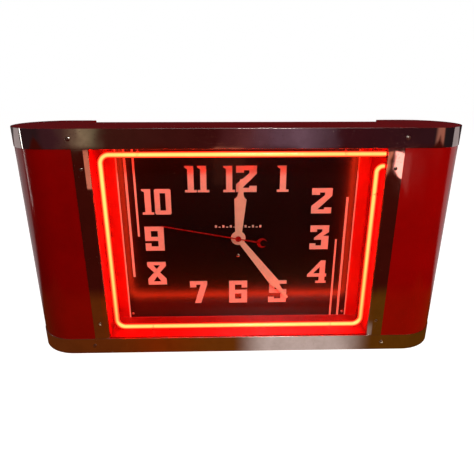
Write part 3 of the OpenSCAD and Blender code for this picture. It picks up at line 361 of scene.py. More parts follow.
# ---- Centre case and back panel ------------------------------------------------------------
# A folded sheet box between the ends, enamelled with them, and a screwed-on panel behind it.
# The panel's middle is pressed out a little, so that the thin sheet doesn't drum.
def dress(node_name, material, edge=0.0):
    """Keeps a CAD node, breaks its sharp edges and gives it its finish."""
    piece = nodes[node_name]
    if edge:
        weld = piece.modifiers.new("weld", "WELD")
        weld.merge_threshold = 0.00001
        broken = piece.modifiers.new("edge", "BEVEL")
        broken.width = edge
        broken.segments = 2
        broken.limit_method = "ANGLE"
        broken.angle_limit = math.radians(50)
    if not piece.material_slots:
        piece.data.materials.append(material)
    for material_slot in piece.material_slots:
        material_slot.material = material


dress("center_case", enamel_red, 0.3 * MM)

panel_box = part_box("back_panel")
panel_thick = panel_box[1][1] - panel_box[0][1]
gland_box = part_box("cord_gland")
gland_x = (gland_box[0][0] + gland_box[1][0]) / 2
gland_z = (gland_box[0][2] + gland_box[1][2]) / 2
knob_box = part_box("set_knob")
knob_x = (knob_box[0][0] + knob_box[1][0]) / 2
knob_z = (knob_box[0][2] + knob_box[1][2]) / 2

deselect_all()
bpy.ops.mesh.primitive_plane_add(size=1, rotation=(math.pi / 2, 0, math.pi),
                                 location=(0, panel_box[1][1], (panel_box[0][2] + panel_box[1][2]) / 2))
panel = bpy.context.object
panel.scale = (panel_box[1][0] - panel_box[0][0], panel_box[1][2] - panel_box[0][2], 1)
settle(panel)
edit(panel)
bpy.ops.mesh.inset(thickness=26 * MM)
bpy.ops.mesh.bevel(offset=14 * MM, segments=6, affect="VERTICES")
bpy.ops.mesh.inset(thickness=3 * MM, depth=1.4 * MM)
leave_edit()
apply_modifier(panel, "SOLIDIFY", thickness=panel_thick, offset=-1)
for hole_x, hole_z, hole_r in ((gland_x, gland_z, 6.5 * MM), (knob_x, knob_z, 5 * MM)):
    bore(panel, (hole_x, panel_box[1][1], hole_z), hole_r, 20 * MM)
soften(panel, 0.3 * MM, segments=2, angle=50)
enamel_back = enamel("red_panel_enamel", (0.40, 0.0015, 0.001), (0.28, 0.002, 0.0015),
                     gloss=0.24, coat=0.2, peel=0.00014)
finish_piece(panel, "rear_panel", enamel_back, "cabinet", "back_panel")


# ---- Bright bands --------------------------------------------------------------------------
# Two strips of 1 mm polished sheet, wrapped round the front and both ends and turned in on the
# wall side, where their ends are screwed down. Long edges are broken by hand.
def rectangle(centre, width, height, facing):
    """A flat section that faces along X, Y or Z, left in edit mode with all of it selected."""
    turn = {"X": (math.pi / 2, 0, math.pi / 2), "Y": (math.pi / 2, 0, 0), "Z": (0, 0, 0)}[facing]
    deselect_all()
    bpy.ops.mesh.primitive_plane_add(size=1, location=centre, rotation=turn)
    section = bpy.context.object
    section.scale = (width, height, 1)
    settle(section)
    edit(section)
    return section


def brightwork(name, tone=0.74, rub=(30, 30, 1400)):
    """Polished plate: mirror finish with rubbed hairlines, hazy patches and a few corroded pits."""
    material, tree, shader, where = new_material(name, Metallic=1.0, Specular_IOR_Level=0.5)
    haze = place_group(tree, soil_group, where, {"Scale": 30.0})
    lines = place_group(tree, line_group, where, {"Stretch": rub})
    pits = place_group(tree, pit_group, where, {"Scale": 260.0})
    base = mix_colours(tree, haze, (tone, tone * 0.975, tone * 0.94),
                       (tone * 0.8, tone * 0.77, tone * 0.72))
    base = mix_colours(tree, pits, base, (0.16, 0.11, 0.07))
    tree.links.new(base, shader.inputs["Base Color"])
    set_roughness(tree, shader, 0.03, (haze, 0.06), (lines, 0.06), (pits, 0.4))
    wave = add_node(tree, "ShaderNodeTexNoise", {"Scale": 22.0, "Detail": 1.0}, Vector=where)
    height = math_node(tree, "SUBTRACT", math_node(tree, "MULTIPLY", wave.outputs[0], 3.0), pits)
    add_bump(tree, shader, height, 0.00012)
    return material


bright_band = brightwork("polished_band")
band_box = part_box("top_band")
band_radius = band_box[1][1]
band_thick = band_radius - shell_radius
band_end_x = 290 * MM
band_screw_x = band_end_x + 6 * MM

for band_node, band_name in (("top_band", "upper_band"), ("bottom_band", "lower_band")):
    low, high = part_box(band_node)
    band = rectangle((band_end_x, band_radius - band_thick / 2, (low[2] + high[2]) / 2),
                     band_thick, high[2] - low[2], "X")
    bpy.ops.mesh.bevel(offset=0.32 * MM, segments=3, affect="VERTICES")
    run(x=end_x - band_end_x)
    bend((end_x, 0, 0), (0, 0, 1), -180, 72)
    reached = end_x
    for stop in (seam_x, 0, -seam_x, -end_x):
        run(x=stop - reached)
        reached = stop
    bend((-end_x, 0, 0), (0, 0, 1), -180, 72)
    run(x=end_x - band_end_x)
    face_outwards()
    for side in (-1, 1):
        deselect_all()
        bpy.ops.mesh.primitive_cone_add(
            vertices=48, radius1=4.1 * MM, radius2=3.4 * MM, depth=1.3 * MM, rotation=(math.pi / 2, 0, 0),
            location=(side * band_screw_x, band_radius - 0.5 * MM, (low[2] + high[2]) / 2))
        cut_with(band, bpy.context.object)
    finish_piece(band, band_name, bright_band, "cabinet", band_node)


# ---- Upright strips ------------------------------------------------------------------------
# Polished strips over the two seams. The outer part lies flat on the case, the inner part
# slopes back into the opening and holds the edge of the glass.
bright_strip = brightwork("polished_strip", tone=0.70, rub=(1400, 1400, 24))
strip_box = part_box("right_pilaster")
flat_x = strip_box[0][0] + 8.5 * MM
slope_depth = 1.9 * MM
strip_thick = 1.0 * MM
strip_low, strip_high = strip_box[0][2], strip_box[1][2]

for side, side_name in ((-1, "left"), (1, "right")):
    strip = rectangle((side * (flat_x + strip_box[1][0]) / 2, strip_box[0][1] + strip_thick / 2, strip_low),
                      strip_box[1][0] - flat_x, strip_thick, "Z")
    pick(strip, "edges", lambda co: abs(co.x - side * flat_x) < 1e-5)
    bpy.ops.mesh.extrude_region_move(
        TRANSFORM_OT_translate={"value": (-side * (flat_x - strip_box[0][0]), slope_depth, 0)})
    bpy.ops.mesh.select_all(action="SELECT")
    run(z=strip_high - strip_low)
    face_outwards()
    soften(strip, 0.3 * MM, segments=3, angle=12)
    finish_piece(strip, side_name + "_strip", bright_strip, "cabinet", side_name + "_pilaster", angle=25)


# ---- Screws that show ----------------------------------------------------------------------
# Slotted raised-head screws, nickel plated and gone a little dull. One is turned and slotted,
# and the rest are copies of it, each left at its own angle by whoever drove it home.
def plated(name, tone, soiled):
    material, tree, shader, where = new_material(name, Metallic=1.0)
    dirt = place_group(tree, soil_group, where, {"Scale": 260.0})
    rubbed = place_group(tree, line_group, where, {"Stretch": (500, 2600, 500)})
    tree.links.new(mix_colours(tree, dirt, tone, soiled), shader.inputs["Base Color"])
    set_roughness(tree, shader, 0.2, (dirt, 0.28), (rubbed, 0.12))
    add_bump(tree, shader, dirt, 0.00006)
    return material


nickel = plated("dull_nickel", (0.62, 0.58, 0.50), (0.25, 0.19, 0.13))
deselect_all()
bpy.ops.mesh.primitive_cylinder_add(vertices=40, radius=1.0, depth=0.5, rotation=(math.pi / 2, 0, 0),
                                    location=(0, -0.25, 0))
master_screw = bpy.context.object
settle(master_screw)
edit(master_screw)
pick(master_screw, "faces", lambda co: co.y < -0.49)
bpy.ops.mesh.inset(thickness=0.22, depth=0.26)
bpy.ops.mesh.inset(thickness=0.26, depth=0.15)
bpy.ops.mesh.inset(thickness=0.24, depth=0.07)
leave_edit()
deselect_all()
bpy.ops.mesh.primitive_cube_add(size=1, location=(0, -0.95, 0))
slot_cutter = bpy.context.object
slot_cutter.scale = (2.4, 0.9, 0.24)
settle(slot_cutter)
cut_with(master_screw, slot_cutter)
soften(master_screw, 0.035, segments=2, angle=35)


def drive_screw(x, y, z, radius, height, turn, to_wall=False):
    """A copy of the master screw at its place. Its seat faces the wall, or the front on the back."""
    screw = master_screw.copy()
    screw.data = master_screw.data.copy()
    bpy.context.scene.collection.objects.link(screw)
    screw.scale = (radius, height, radius)
    settle(screw)
    screw.rotation_euler = (0, math.radians(turn), math.pi if to_wall else 0)
    screw.location = (x, y, z)
    settle(screw)
    return screw


def drive_group(name, node, seat_y, radius, height, inset, columns, turn, step, to_wall=False):
    """Two rows of equal screws, set in from the edges of their CAD node's box. The first slot
    stands at the angle turn, and each later one is a step further round."""
    low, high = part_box(node)
    left, right = low[0] + inset, high[0] - inset
    across = {1: (0,), 2: (left, right), 3: (left, 0, right)}[columns]
    screws = []
    for z in (low[2] + inset, high[2] - inset):
        for x in across:
            screws.append(drive_screw(x, seat_y, z, radius, height, turn, to_wall))
            turn += step
    finish_piece(join(screws, "screws"), name, nickel, "cabinet", node)


head_radius = 3.8 * MM
head_height = 1.6 * MM
front_y = band_box[0][1]
wall_y = band_box[1][1]
dial_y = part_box("dial_plate")[0][1]
upper_z = (band_box[0][2] + band_box[1][2]) / 2
lower_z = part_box("bottom_band")[1][2] / 2
front_screw_x = seam_x + 6.5 * MM
sunk_radius = 3.3 * MM
sunk_height = 0.94 * MM
sunk_seat_y = wall_y - 0.98 * MM
turn = 15
screws = []
for z in (upper_z, lower_z):
    for side in (-1, 1):
        screws.append(drive_screw(side * front_screw_x, front_y, z, head_radius, head_height, turn))
        screws.append(drive_screw(side * band_screw_x, sunk_seat_y, z, sunk_radius, sunk_height,
                                  turn + 70, True))
        turn += 47
finish_piece(join(screws, "screws"), "screws_of_bands", nickel, "cabinet", "band_screws")

drive_group("screws_of_strips", "pilaster_screws", front_y, head_radius * 0.8, head_height * 0.8,
            head_radius * 0.8, columns=2, turn=203, step=53)
drive_group("screws_of_panel", "back_panel_screws", panel_box[1][1], head_radius, head_height,
            head_radius, columns=3, turn=415, step=61, to_wall=True)
drive_group("screws_of_dial", "dial_screws", dial_y, 3 * MM, 1.2 * MM,
            3 * MM, columns=2, turn=781, step=37)
drive_group("screws_of_movement", "movement_screws", dial_y, 3.4 * MM, 1.6 * MM,
            3.6 * MM, columns=1, turn=929, step=71)
bpy.data.objects.remove(master_screw)


# ---- Glass and its rubber strip ------------------------------------------------------------
# Plain float glass held by the recess against a rubber strip. It only shows by what it mirrors,
# by a faint film of dust, and by its ground edge.
glass, tree, shader, where = new_material("cover_glass", Metallic=1.0)
shader.inputs["Base Color"].default_value = (0.93, 0.97, 0.95, 1)
shader.inputs["Roughness"].default_value = 0.02
mirror = add_node(tree, "ShaderNodeFresnel", {"IOR": 1.45})
dust = place_group(tree, soil_group, where, {"Scale": 9.0})
film = math_node(tree, "MULTIPLY", dust, 0.002)
shine = math_node(tree, "MULTIPLY", mirror.outputs[0], 0.20)
tree.links.new(math_node(tree, "ADD", shine, film), shader.inputs["Alpha"])
dress("front_glass", glass, 0.4 * MM)

rubber, tree, shader, where = new_material("black_rubber", Roughness=0.7)
bloom = place_group(tree, soil_group, where, {"Scale": 60.0})
tone = mix_colours(tree, bloom, (0.012, 0.011, 0.010), (0.05, 0.045, 0.04))
tree.links.new(tone, shader.inputs["Base Color"])
add_grain(tree, shader, where, 900.0, 3.0, 0.0001)
dress("glass_gasket", rubber)
dress("wall_bushings", rubber, 0.2 * MM)
dress("electrode_boots", rubber, 0.6 * MM)
dress("cord_gland", rubber, 0.5 * MM)


# ---- Recess --------------------------------------------------------------------------------
# A deep red tray of thin sheet behind the glass, with small folded corners, holes for the tube
# on the right, and a flange behind the dial. Its satin enamel throws the tube's light about.
recess_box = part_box("shadow_box")
dial_low, dial_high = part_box("dial_plate")
gap = 0.4 * MM
open_x = dial_high[0] + gap
open_low, open_high = dial_low[2] - gap, dial_high[2] + gap
recess_front, recess_back = recess_box[0][1], recess_box[1][1]
wall_thick = 0.8 * MM
dial_flange = 35 * MM
tube_depth_y = front_y + 13 * MM
tube_hole_r = 5.9 * MM

recess = rectangle((0, recess_front, (open_low + open_high) / 2), 2 * open_x, open_high - open_low, "Y")
run(y=recess_back - wall_thick - recess_front)
bpy.ops.mesh.inset(thickness=dial_flange)
bpy.ops.mesh.delete(type="FACE")
pick(recess, "faces", lambda co: abs(co.y - recess_front) < 1e-6)
bpy.ops.mesh.delete(type="FACE")
pick(recess, "edges", lambda co: abs(co.x) > open_x - 1e-6
     and min(co.z - open_low, open_high - co.z) < 1e-6)
bpy.ops.mesh.bevel(offset=2.2 * MM, segments=4)
pick(recess, "edges", lambda co: abs(co.y - recess_front) < 1e-6)
bpy.ops.mesh.extrude_edges_move()
bpy.ops.transform.resize(value=(1 + 20 * MM / open_x, 1, 1 + 34 * MM / (open_high - open_low)),
                         center_override=(0, recess_front, (open_low + open_high) / 2))
bpy.ops.mesh.select_all(action="SELECT")
bpy.ops.mesh.remove_doubles(threshold=1e-6)
bpy.ops.mesh.normals_make_consistent(inside=True)
leave_edit()
apply_modifier(recess, "SOLIDIFY", thickness=wall_thick, offset=-1)
bushing_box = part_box("wall_bushings")
bushing_z = (bushing_box[0][2] + 6.4 * MM, bushing_box[1][2] - 6.4 * MM)
for hole_z in bushing_z:
    bore(recess, (open_x, tube_depth_y, hole_z), tube_hole_r, 12 * MM, 40, turn=(0, math.pi / 2, 0))
recess_red = (0.56, 0.0008, 0.0006)
enamel_recess = enamel("recess_enamel", recess_red, (0.50, 0.0008, 0.0006), gloss=0.30, coat=0.15)
finish_piece(recess, "recess_tray", enamel_recess, "cabinet", "shadow_box")
dress("recess_screws", nickel)
dress("shell_screws", nickel)


# ---- Dial ----------------------------------------------------------------------------------
# An enamelled plate, black between its two outer lines and red outside them, with cream print
# that is a little thin. The black is semi-gloss with fine wiping marks and settled dust.
dial_black, tree, shader, where = new_material("dial_black", Specular_IOR_Level=0.75)
wiped = place_group(tree, line_group, where, {"Stretch": (60, 1, 700)})
dust = place_group(tree, pit_group, where, {"Scale": 700.0})
cloud = place_group(tree, soil_group, where, {"Scale": 12.0})
tone = mix_colours(tree, cloud, (0.006, 0.0015, 0.001), (0.010, 0.002, 0.0015))
tone = mix_colours(tree, math_node(tree, "MULTIPLY", dust, 0.10), tone, (0.22, 0.18, 0.15))
black_half_width = 231 * MM
across = add_node(tree, "ShaderNodeSeparateXYZ", {}, Vector=where)
from_middle = math_node(tree, "ABSOLUTE", across.outputs["X"], 0.0)
margin = math_node(tree, "GREATER_THAN", from_middle, black_half_width)
tree.links.new(mix_colours(tree, margin, tone, recess_red), shader.inputs["Base Color"])
set_roughness(tree, shader, 0.24, (cloud, 0.03), (wiped, 0.02))
add_grain(tree, shader, where, 300.0, 2.0, 0.00006)
dress("dial_plate", dial_black, 0.2 * MM)


def paint(name, colour, thin, gloss=0.42):
    """Opaque paint or printing ink, mottled where it was laid on thin."""
    material, tree, shader, where = new_material(name, Specular_IOR_Level=0.4)
    mottle = place_group(tree, soil_group, where, {"Scale": 130.0})
    specks = place_group(tree, pit_group, where, {"Scale": 800.0})
    tone = mix_colours(tree, math_node(tree, "MULTIPLY", mottle, 0.6), colour, thin)
    tone = mix_colours(tree, math_node(tree, "MULTIPLY", specks, 0.7), tone, (0.10, 0.06, 0.05))
    tree.links.new(tone, shader.inputs["Base Color"])
    set_roughness(tree, shader, gloss, (mottle, 0.15))
    add_grain(tree, shader, where, 1500.0, 2.0, 0.00004)
    return material


cream_print = paint("cream_print", (0.84, 0.60, 0.46), (0.70, 0.46, 0.34))
for printed in ("dial_numerals", "dial_bars", "dial_ornament"):
    dress(printed, cream_print)


# ---- Hands ---------------------------------------------------------------------------------
# Stamped hands with a broad blade that narrows suddenly to a long point, cream enamelled, and
# a thin red second hand with an open crescent on its tail. Each is pressed on its own pipe.
centre_over_knob = 27.762 * MM
centre_z = knob_z + centre_over_knob


def stamp_blade(stations, thick):
    """A flat blade up the Z axis from half-widths at given lengths, hub end first."""
    middle = (stations[0][0] + stations[1][0]) / 2
    blade = rectangle((0, 0, middle), 1.0, 1.0, "Y")
    pick(blade, "verts", lambda co: True)
    mesh = bmesh.from_edit_mesh(blade.data)
    for vert in mesh.verts:
        length, half = stations[1] if vert.co.z > middle else stations[0]
        vert.co = Vector((math.copysign(half, vert.co.x), 0, length))
    bmesh.update_edit_mesh(blade.data)
    for (length, half), (next_length, next_half) in zip(stations[1:], stations[2:]):
        pick(blade, "edges", lambda co: abs(co.z - length) < 1e-7)
        run(z=next_length - length)
        bpy.ops.transform.resize(value=(next_half / half, 1, 1), center_override=(0, 0, next_length))
    leave_edit()
    apply_modifier(blade, "SOLIDIFY", thickness=thick, offset=0)
    edit(blade)
    face_outwards()
    return blade


def disc(y_front, y_back, radius, vertices=64):
    deselect_all()
    bpy.ops.mesh.primitive_cylinder_add(
        vertices=vertices, radius=radius, depth=y_back - y_front, rotation=(math.pi / 2, 0, 0),
        location=(0, (y_front + y_back) / 2, 0))
    piece = bpy.context.object
    settle(piece)
    return piece


def hang_hand(parts, name, y, turn, edge, material, body, node):
    hand = join(parts, name)
    soften(hand, edge, segments=3, angle=40)
    hand.rotation_euler = (0, math.radians(turn), 0)
    hand.location = (0, y, centre_z)
    settle(hand)
    finish_piece(hand, name, material, body, node)


hand_cream = paint("hand_cream", (0.84, 0.66, 0.46), (0.72, 0.52, 0.36), gloss=0.34)
hand_red = paint("hand_red", (0.36, 0.006, 0.005), (0.26, 0.005, 0.004), gloss=0.25)
hand_thick = 0.8 * MM
# degrees clockwise from twelve
hour_turn, minute_turn, second_turn = 3, 142.5, 280.5


def blade_stations(length, shoulder, root, wide, neck, tip):
    """Lengths and half-widths of a broad blade that narrows suddenly beyond its shoulder."""
    return [(0.0, root / 2), (shoulder, wide / 2), (shoulder + 1.2 * MM, wide * 0.44),
            (shoulder + 2.5 * MM, wide * 0.36), (shoulder + 4.2 * MM, neck * 0.68),
            (shoulder + 6 * MM, neck * 0.58), (shoulder + 10 * MM, neck / 2),
            (length - 1 * MM, tip / 2), (length, tip * 0.36)]


hour_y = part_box("hour_hand")[0][1] + hand_thick / 2
hour_shape = blade_stations(120 * MM, 80.4 * MM, root=12 * MM, wide=24 * MM, neck=11 * MM, tip=5.6 * MM)
hour_blade = stamp_blade(hour_shape, hand_thick)
hour_hub = disc(-0.45 * MM, 0.45 * MM, 14.6 * MM, 96)
hour_pipe = disc(0.0, 2.4 * MM, 4.6 * MM)
hang_hand([hour_blade, hour_hub, hour_pipe], "hand_of_hours", hour_y, hour_turn, 0.18 * MM,
          hand_cream, "hour", "hour_hand")

minute_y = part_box("minute_hand")[0][1] + hand_thick / 2
minute_shape = blade_stations(169 * MM, 127.9 * MM, root=10 * MM, wide=20 * MM, neck=10 * MM, tip=5.6 * MM)
minute_blade = stamp_blade(minute_shape, hand_thick)
minute_hub = disc(-0.45 * MM, 0.45 * MM, 9.5 * MM, 80)
minute_pipe = disc(0.0, 1.3 * MM, 3.4 * MM)
hang_hand([minute_blade, minute_hub, minute_pipe], "hand_of_minutes", minute_y, minute_turn, 0.18 * MM,
          hand_cream, "minute", "minute_hand")

second_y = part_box("second_hand")[0][1] + 0.3 * MM
needle = stamp_blade([(-42 * MM, 1.9 * MM), (-6 * MM, 1.2 * MM), (155 * MM, 0.85 * MM)], 0.6 * MM)
second_hub = disc(-0.35 * MM, 0.35 * MM, 6 * MM)
crescent = disc(-0.3 * MM, 0.3 * MM, 10 * MM, 72)
crescent.location = (0, 0, -48 * MM)
settle(crescent)
jaw = disc(-2 * MM, 2 * MM, 7 * MM, 64)
jaw.location = (0, 0, -51.5 * MM)
settle(jaw)
cut_with(crescent, jaw)
edit(crescent)
bpy.ops.mesh.bisect(plane_co=(0, 0, -57 * MM), plane_no=(0, 0, 1), clear_inner=True, use_fill=True)
leave_edit()
second_cap = disc(-0.9 * MM, 0.0, 2.6 * MM, 40)
hang_hand([needle, second_hub, crescent, second_cap], "hand_of_seconds", second_y, second_turn, 0.1 * MM,
          hand_red, "second", "second_hand")


# ---- Neon tube -----------------------------------------------------------------------------
# One length of 10 mm glass bent over a ribbon burner into a loop, both ends turned towards the
# wall in the right end, where each widens round its electrode. The gas glows red-orange and
# looks yellow-white where it is seen thickest.
neon, tree, shader, where = new_material("neon_glow", Roughness=0.08)
shader.inputs["Base Color"].default_value = (0.30, 0.10, 0.06, 1)
shader.inputs["Emission Color"].default_value = (1.0, 0.031, 0.0068, 1)
facing = add_node(tree, "ShaderNodeLayerWeight", {"Blend": 0.5})
limb = ramp(tree, facing.outputs["Facing"], [
    (0.0, 1.0), (0.10, 0.88), (0.20, 0.42), (0.34, 0.13), (0.55, 0.05), (1.0, 0.02)])
unsteady = add_node(tree, "ShaderNodeTexNoise", {"Scale": 9.0, "Detail": 2.0}, Vector=where)
flow = ramp(tree, unsteady.outputs[0], [(0.30, 0.82), (0.70, 1.0)])
strength = math_node(tree, "MULTIPLY", math_node(tree, "MULTIPLY", limb, flow), 30.0)
tree.links.new(strength, shader.inputs["Emission Strength"])

tube_low, tube_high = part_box("neon_tube")
tube_r = 5 * MM
wide_r = 7.5 * MM
upper_x = 302 * MM
lower_x = 330 * MM
tube_left = tube_low[0] + tube_r
tube_right = open_x - 13 * MM
tube_top = bushing_z[1]
tube_exit = bushing_z[0]
tube_base = tube_low[2] + tube_r
tube_y = tube_low[1] + tube_r
corner = 16 * MM
exit_corner = 11.5 * MM
glass_end = tube_high[1]
neck_y = glass_end - 55 * MM
taper = 3 * MM

deselect_all()
bpy.ops.mesh.primitive_circle_add(vertices=28, radius=wide_r, fill_type="NGON",
                                  rotation=(math.pi / 2, 0, 0), location=(upper_x, glass_end, tube_top))
tube = bpy.context.object
settle(tube)
edit(tube)


def shrink(factor, centre):
    bpy.ops.transform.resize(value=(factor, 1, factor), center_override=centre)


run(y=neck_y + taper - glass_end)
run(y=-taper)
shrink(tube_r / wide_r, (upper_x, neck_y, tube_top))
run(y=tube_y + corner - neck_y)
bend((upper_x - corner, tube_y + corner, tube_top), (0, 0, 1), -90, 12)
run(x=tube_left + corner - (upper_x - corner))
bend((tube_left + corner, tube_y, tube_top - corner), (0, 1, 0), -90, 14)
run(z=tube_base + corner - (tube_top - corner))
bend((tube_left + corner, tube_y, tube_base + corner), (0, 1, 0), -90, 14)
run(x=tube_right - corner - (tube_left + corner))
bend((tube_right - corner, tube_y, tube_base + corner), (0, 1, 0), -90, 14)
run(z=tube_exit - exit_corner - (tube_base + corner))
bend((tube_right + exit_corner, tube_y, tube_exit - exit_corner), (0, 1, 0), 90, 12)
run(x=lower_x - corner - (tube_right + exit_corner))
bend((lower_x - corner, tube_y + corner, tube_exit), (0, 0, 1), 90, 12)
run(y=neck_y - (tube_y + corner))
run(y=taper)
shrink(wide_r / tube_r, (lower_x, neck_y + taper, tube_exit))
run(y=glass_end - neck_y - taper)
face_outwards()
soften(tube, 1.5 * MM, segments=4, angle=60)
finish_piece(tube, "lit_tube", neon, "cabinet", "neon_tube", angle=50)


# ---- Tube stands and wires -----------------------------------------------------------------
# Small pressed glass stands, each a foot, a stem and a half-ring that cradles the tube, with a
# bail of soft wire over the tube. Every one is pressed alike and cemented where it is needed.
stand_glass, tree, shader, where = new_material("stand_glass", Transmission_Weight=1.0, IOR=1.47)
shader.inputs["Base Color"].default_value = (0.96, 0.98, 0.97, 1)
grime = place_group(tree, soil_group, where, {"Scale": 220.0})
set_roughness(tree, shader, 0.06, (grime, 0.25))
add_grain(tree, shader, where, 600.0, 2.0, 0.00008)
soft_wire = plated("soft_wire", (0.72, 0.60, 0.50), (0.40, 0.30, 0.22))


foot_thick = 1.5 * MM


def make_stand(reach):
    cradle = rectangle((-tube_r - 0.75 * MM, 0, 0), 1.3 * MM, 5 * MM, "Z")
    bpy.ops.mesh.bevel(offset=0.4 * MM, segments=3, affect="VERTICES")
    bend((0, 0, 0), (0, 1, 0), -180, 28)
    face_outwards()
    stem_length = reach - tube_r - 0.6 * MM
    deselect_all()
    bpy.ops.mesh.primitive_cylinder_add(vertices=32, radius=4.6 * MM, depth=stem_length,
                                        location=(0, 0, -reach + stem_length / 2))
    stem = bpy.context.object
    settle(stem)
    edit(stem)
    pick(stem, "faces", lambda co: co.z > -reach + stem_length - 1e-6)
    bpy.ops.transform.translate(value=(0, 0, foot_thick - stem_length))
    bpy.ops.mesh.inset(thickness=2.4 * MM)
    run(z=stem_length - foot_thick)
    leave_edit()
    soften(stem, 0.35 * MM, segments=3, angle=50)
    return join([cradle, stem], "stand")


def make_bail():
    deselect_all()
    bpy.ops.mesh.primitive_circle_add(vertices=12, radius=0.35 * MM, fill_type="NGON",
                                      location=(-tube_r - 0.45 * MM, 0, 0))
    bail = bpy.context.object
    settle(bail)
    edit(bail)
    bend((0, 0, 0), (0, 1, 0), 180, 30)
    face_outwards()
    return bail


lower_gap = tube_base - open_low
upper_gap = open_high - tube_top
side_gap = open_x - tube_right
stand_side_z = tube_exit - 50 * MM
# each stand's X in millimetres, its Z, the way it leans and how far it reaches
places = [(-170.2, tube_base, 0, lower_gap), (182.3, tube_base, 0, lower_gap),
          (-175.4, tube_top, 180, upper_gap), (185.6, tube_top, 180, upper_gap),
          (tube_right / MM, stand_side_z, -90, side_gap)]
stands = []
bails = []
for x, z, turn, stand_gap in places:
    for made, piece in ((stands, make_stand(stand_gap)), (bails, make_bail())):
        piece.rotation_euler = (0, 0, math.pi / 2)
        settle(piece)
        piece.rotation_euler = (0, math.radians(turn), 0)
        piece.location = (x * MM, tube_y, z)
        settle(piece)
        made.append(piece)
finish_piece(join(stands, "stands"), "tube_stands", stand_glass, "cabinet", "tube_supports")
finish_piece(join(bails, "bails"), "tube_bails", soft_wire, "cabinet", "tube_ties")


# ---- High-tension side ---------------------------------------------------------------------
# Electrodes, leads and the potted transformer, all inside the right end. They are finished for
# anyone who opens the clock up: black japan, varnished iron and copper, glazed porcelain.
def plain_finish(name, colour, worn, gloss, metallic=0.0, depth=0.0001):
    material, tree, shader, where = new_material(name, Metallic=metallic)
    mask = place_group(tree, soil_group, where, {"Scale": 80.0})
    tree.links.new(mix_colours(tree, mask, colour, worn), shader.inputs["Base Color"])
    set_roughness(tree, shader, gloss, (mask, 0.2))
    add_grain(tree, shader, where, 700.0, 3.0, depth)
    return material


iron = plain_finish("electrode_iron", (0.30, 0.29, 0.28), (0.16, 0.14, 0.12), 0.4, metallic=1.0)
lead_rubber = plain_finish("lead_rubber", (0.05, 0.012, 0.01), (0.09, 0.04, 0.03), 0.5)
japan = plain_finish("black_japan", (0.010, 0.010, 0.011), (0.03, 0.027, 0.025), 0.25)
varnished_iron = plain_finish("varnished_iron", (0.10, 0.09, 0.085), (0.16, 0.10, 0.06), 0.35, metallic=0.6)
varnished_copper = plain_finish("varnished_copper", (0.36, 0.13, 0.04), (0.20, 0.07, 0.03), 0.3,
                                metallic=0.7)
porcelain = plain_finish("glazed_porcelain", (0.80, 0.77, 0.70), (0.62, 0.57, 0.48), 0.15)
waxed_cotton = plain_finish("waxed_cotton", (0.40, 0.33, 0.20), (0.24, 0.18, 0.11), 0.7, depth=0.0003)
dress("electrode_shells", iron, 0.3 * MM)
dress("hv_lead_upper", lead_rubber)
dress("hv_lead_lower", lead_rubber)
dress("transformer_case", japan, 0.6 * MM)
dress("transformer_core", varnished_iron, 0.3 * MM)
dress("transformer_coils", varnished_copper, 0.6 * MM)
dress("transformer_bushings", porcelain, 0.6 * MM)
dress("transformer_bolts", nickel)
dress("terminal_block", porcelain, 0.6 * MM)
dress("motor_leads", waxed_cotton)
dress("transformer_leads", waxed_cotton)


# ---- Movement ------------------------------------------------------------------------------
# A synchronous movement between two brass plates: cut brass wheels on steel arbors, a sealed
# can with its coil, and the motion work under the dial.
def metal(name, colour, tarnish, gloss):
    material, tree, shader, where = new_material(name, Metallic=1.0)
    mask = place_group(tree, soil_group, where, {"Scale": 120.0})
    brushed = place_group(tree, line_group, where, {"Stretch": (60, 900, 2400)})
    tree.links.new(mix_colours(tree, mask, colour, tarnish), shader.inputs["Base Color"])
    set_roughness(tree, shader, gloss, (mask, 0.18), (brushed, 0.15))
    add_bump(tree, shader, brushed, 0.00003)
    return material


brass = metal("brushed_brass", (0.62, 0.44, 0.17), (0.34, 0.22, 0.09), 0.2)
steel = metal("cut_steel", (0.52, 0.51, 0.49), (0.28, 0.25, 0.22), 0.18)
taped = plain_finish("taped_coil", (0.06, 0.05, 0.035), (0.12, 0.09, 0.06), 0.6, depth=0.0003)
for brass_node in ("movement_front_plate", "movement_back_plate", "movement_pillars"):
    dress(brass_node, brass, 0.12 * MM)
for brass_node in ("third_wheel", "centre_wheel", "minute_tube", "minute_wheel", "hour_wheel", "hand_nut",
                   "terminal_screws"):
    dress(brass_node, brass)
for steel_node in ("rotor_pinion", "second_arbor", "clutch_spring", "set_shaft", "motor_can"):
    dress(steel_node, steel)
dress("stator_laminations", varnished_iron)
dress("stator_coil", taped, 0.5 * MM)


# ---- Setting knob --------------------------------------------------------------------------
# A fluted knob of dark moulded resin, pushed on the setting shaft behind the case.
resin = plain_finish("dark_resin", (0.018, 0.014, 0.012), (0.05, 0.04, 0.03), 0.22)
dress("set_knob", resin, 0.35 * MM)


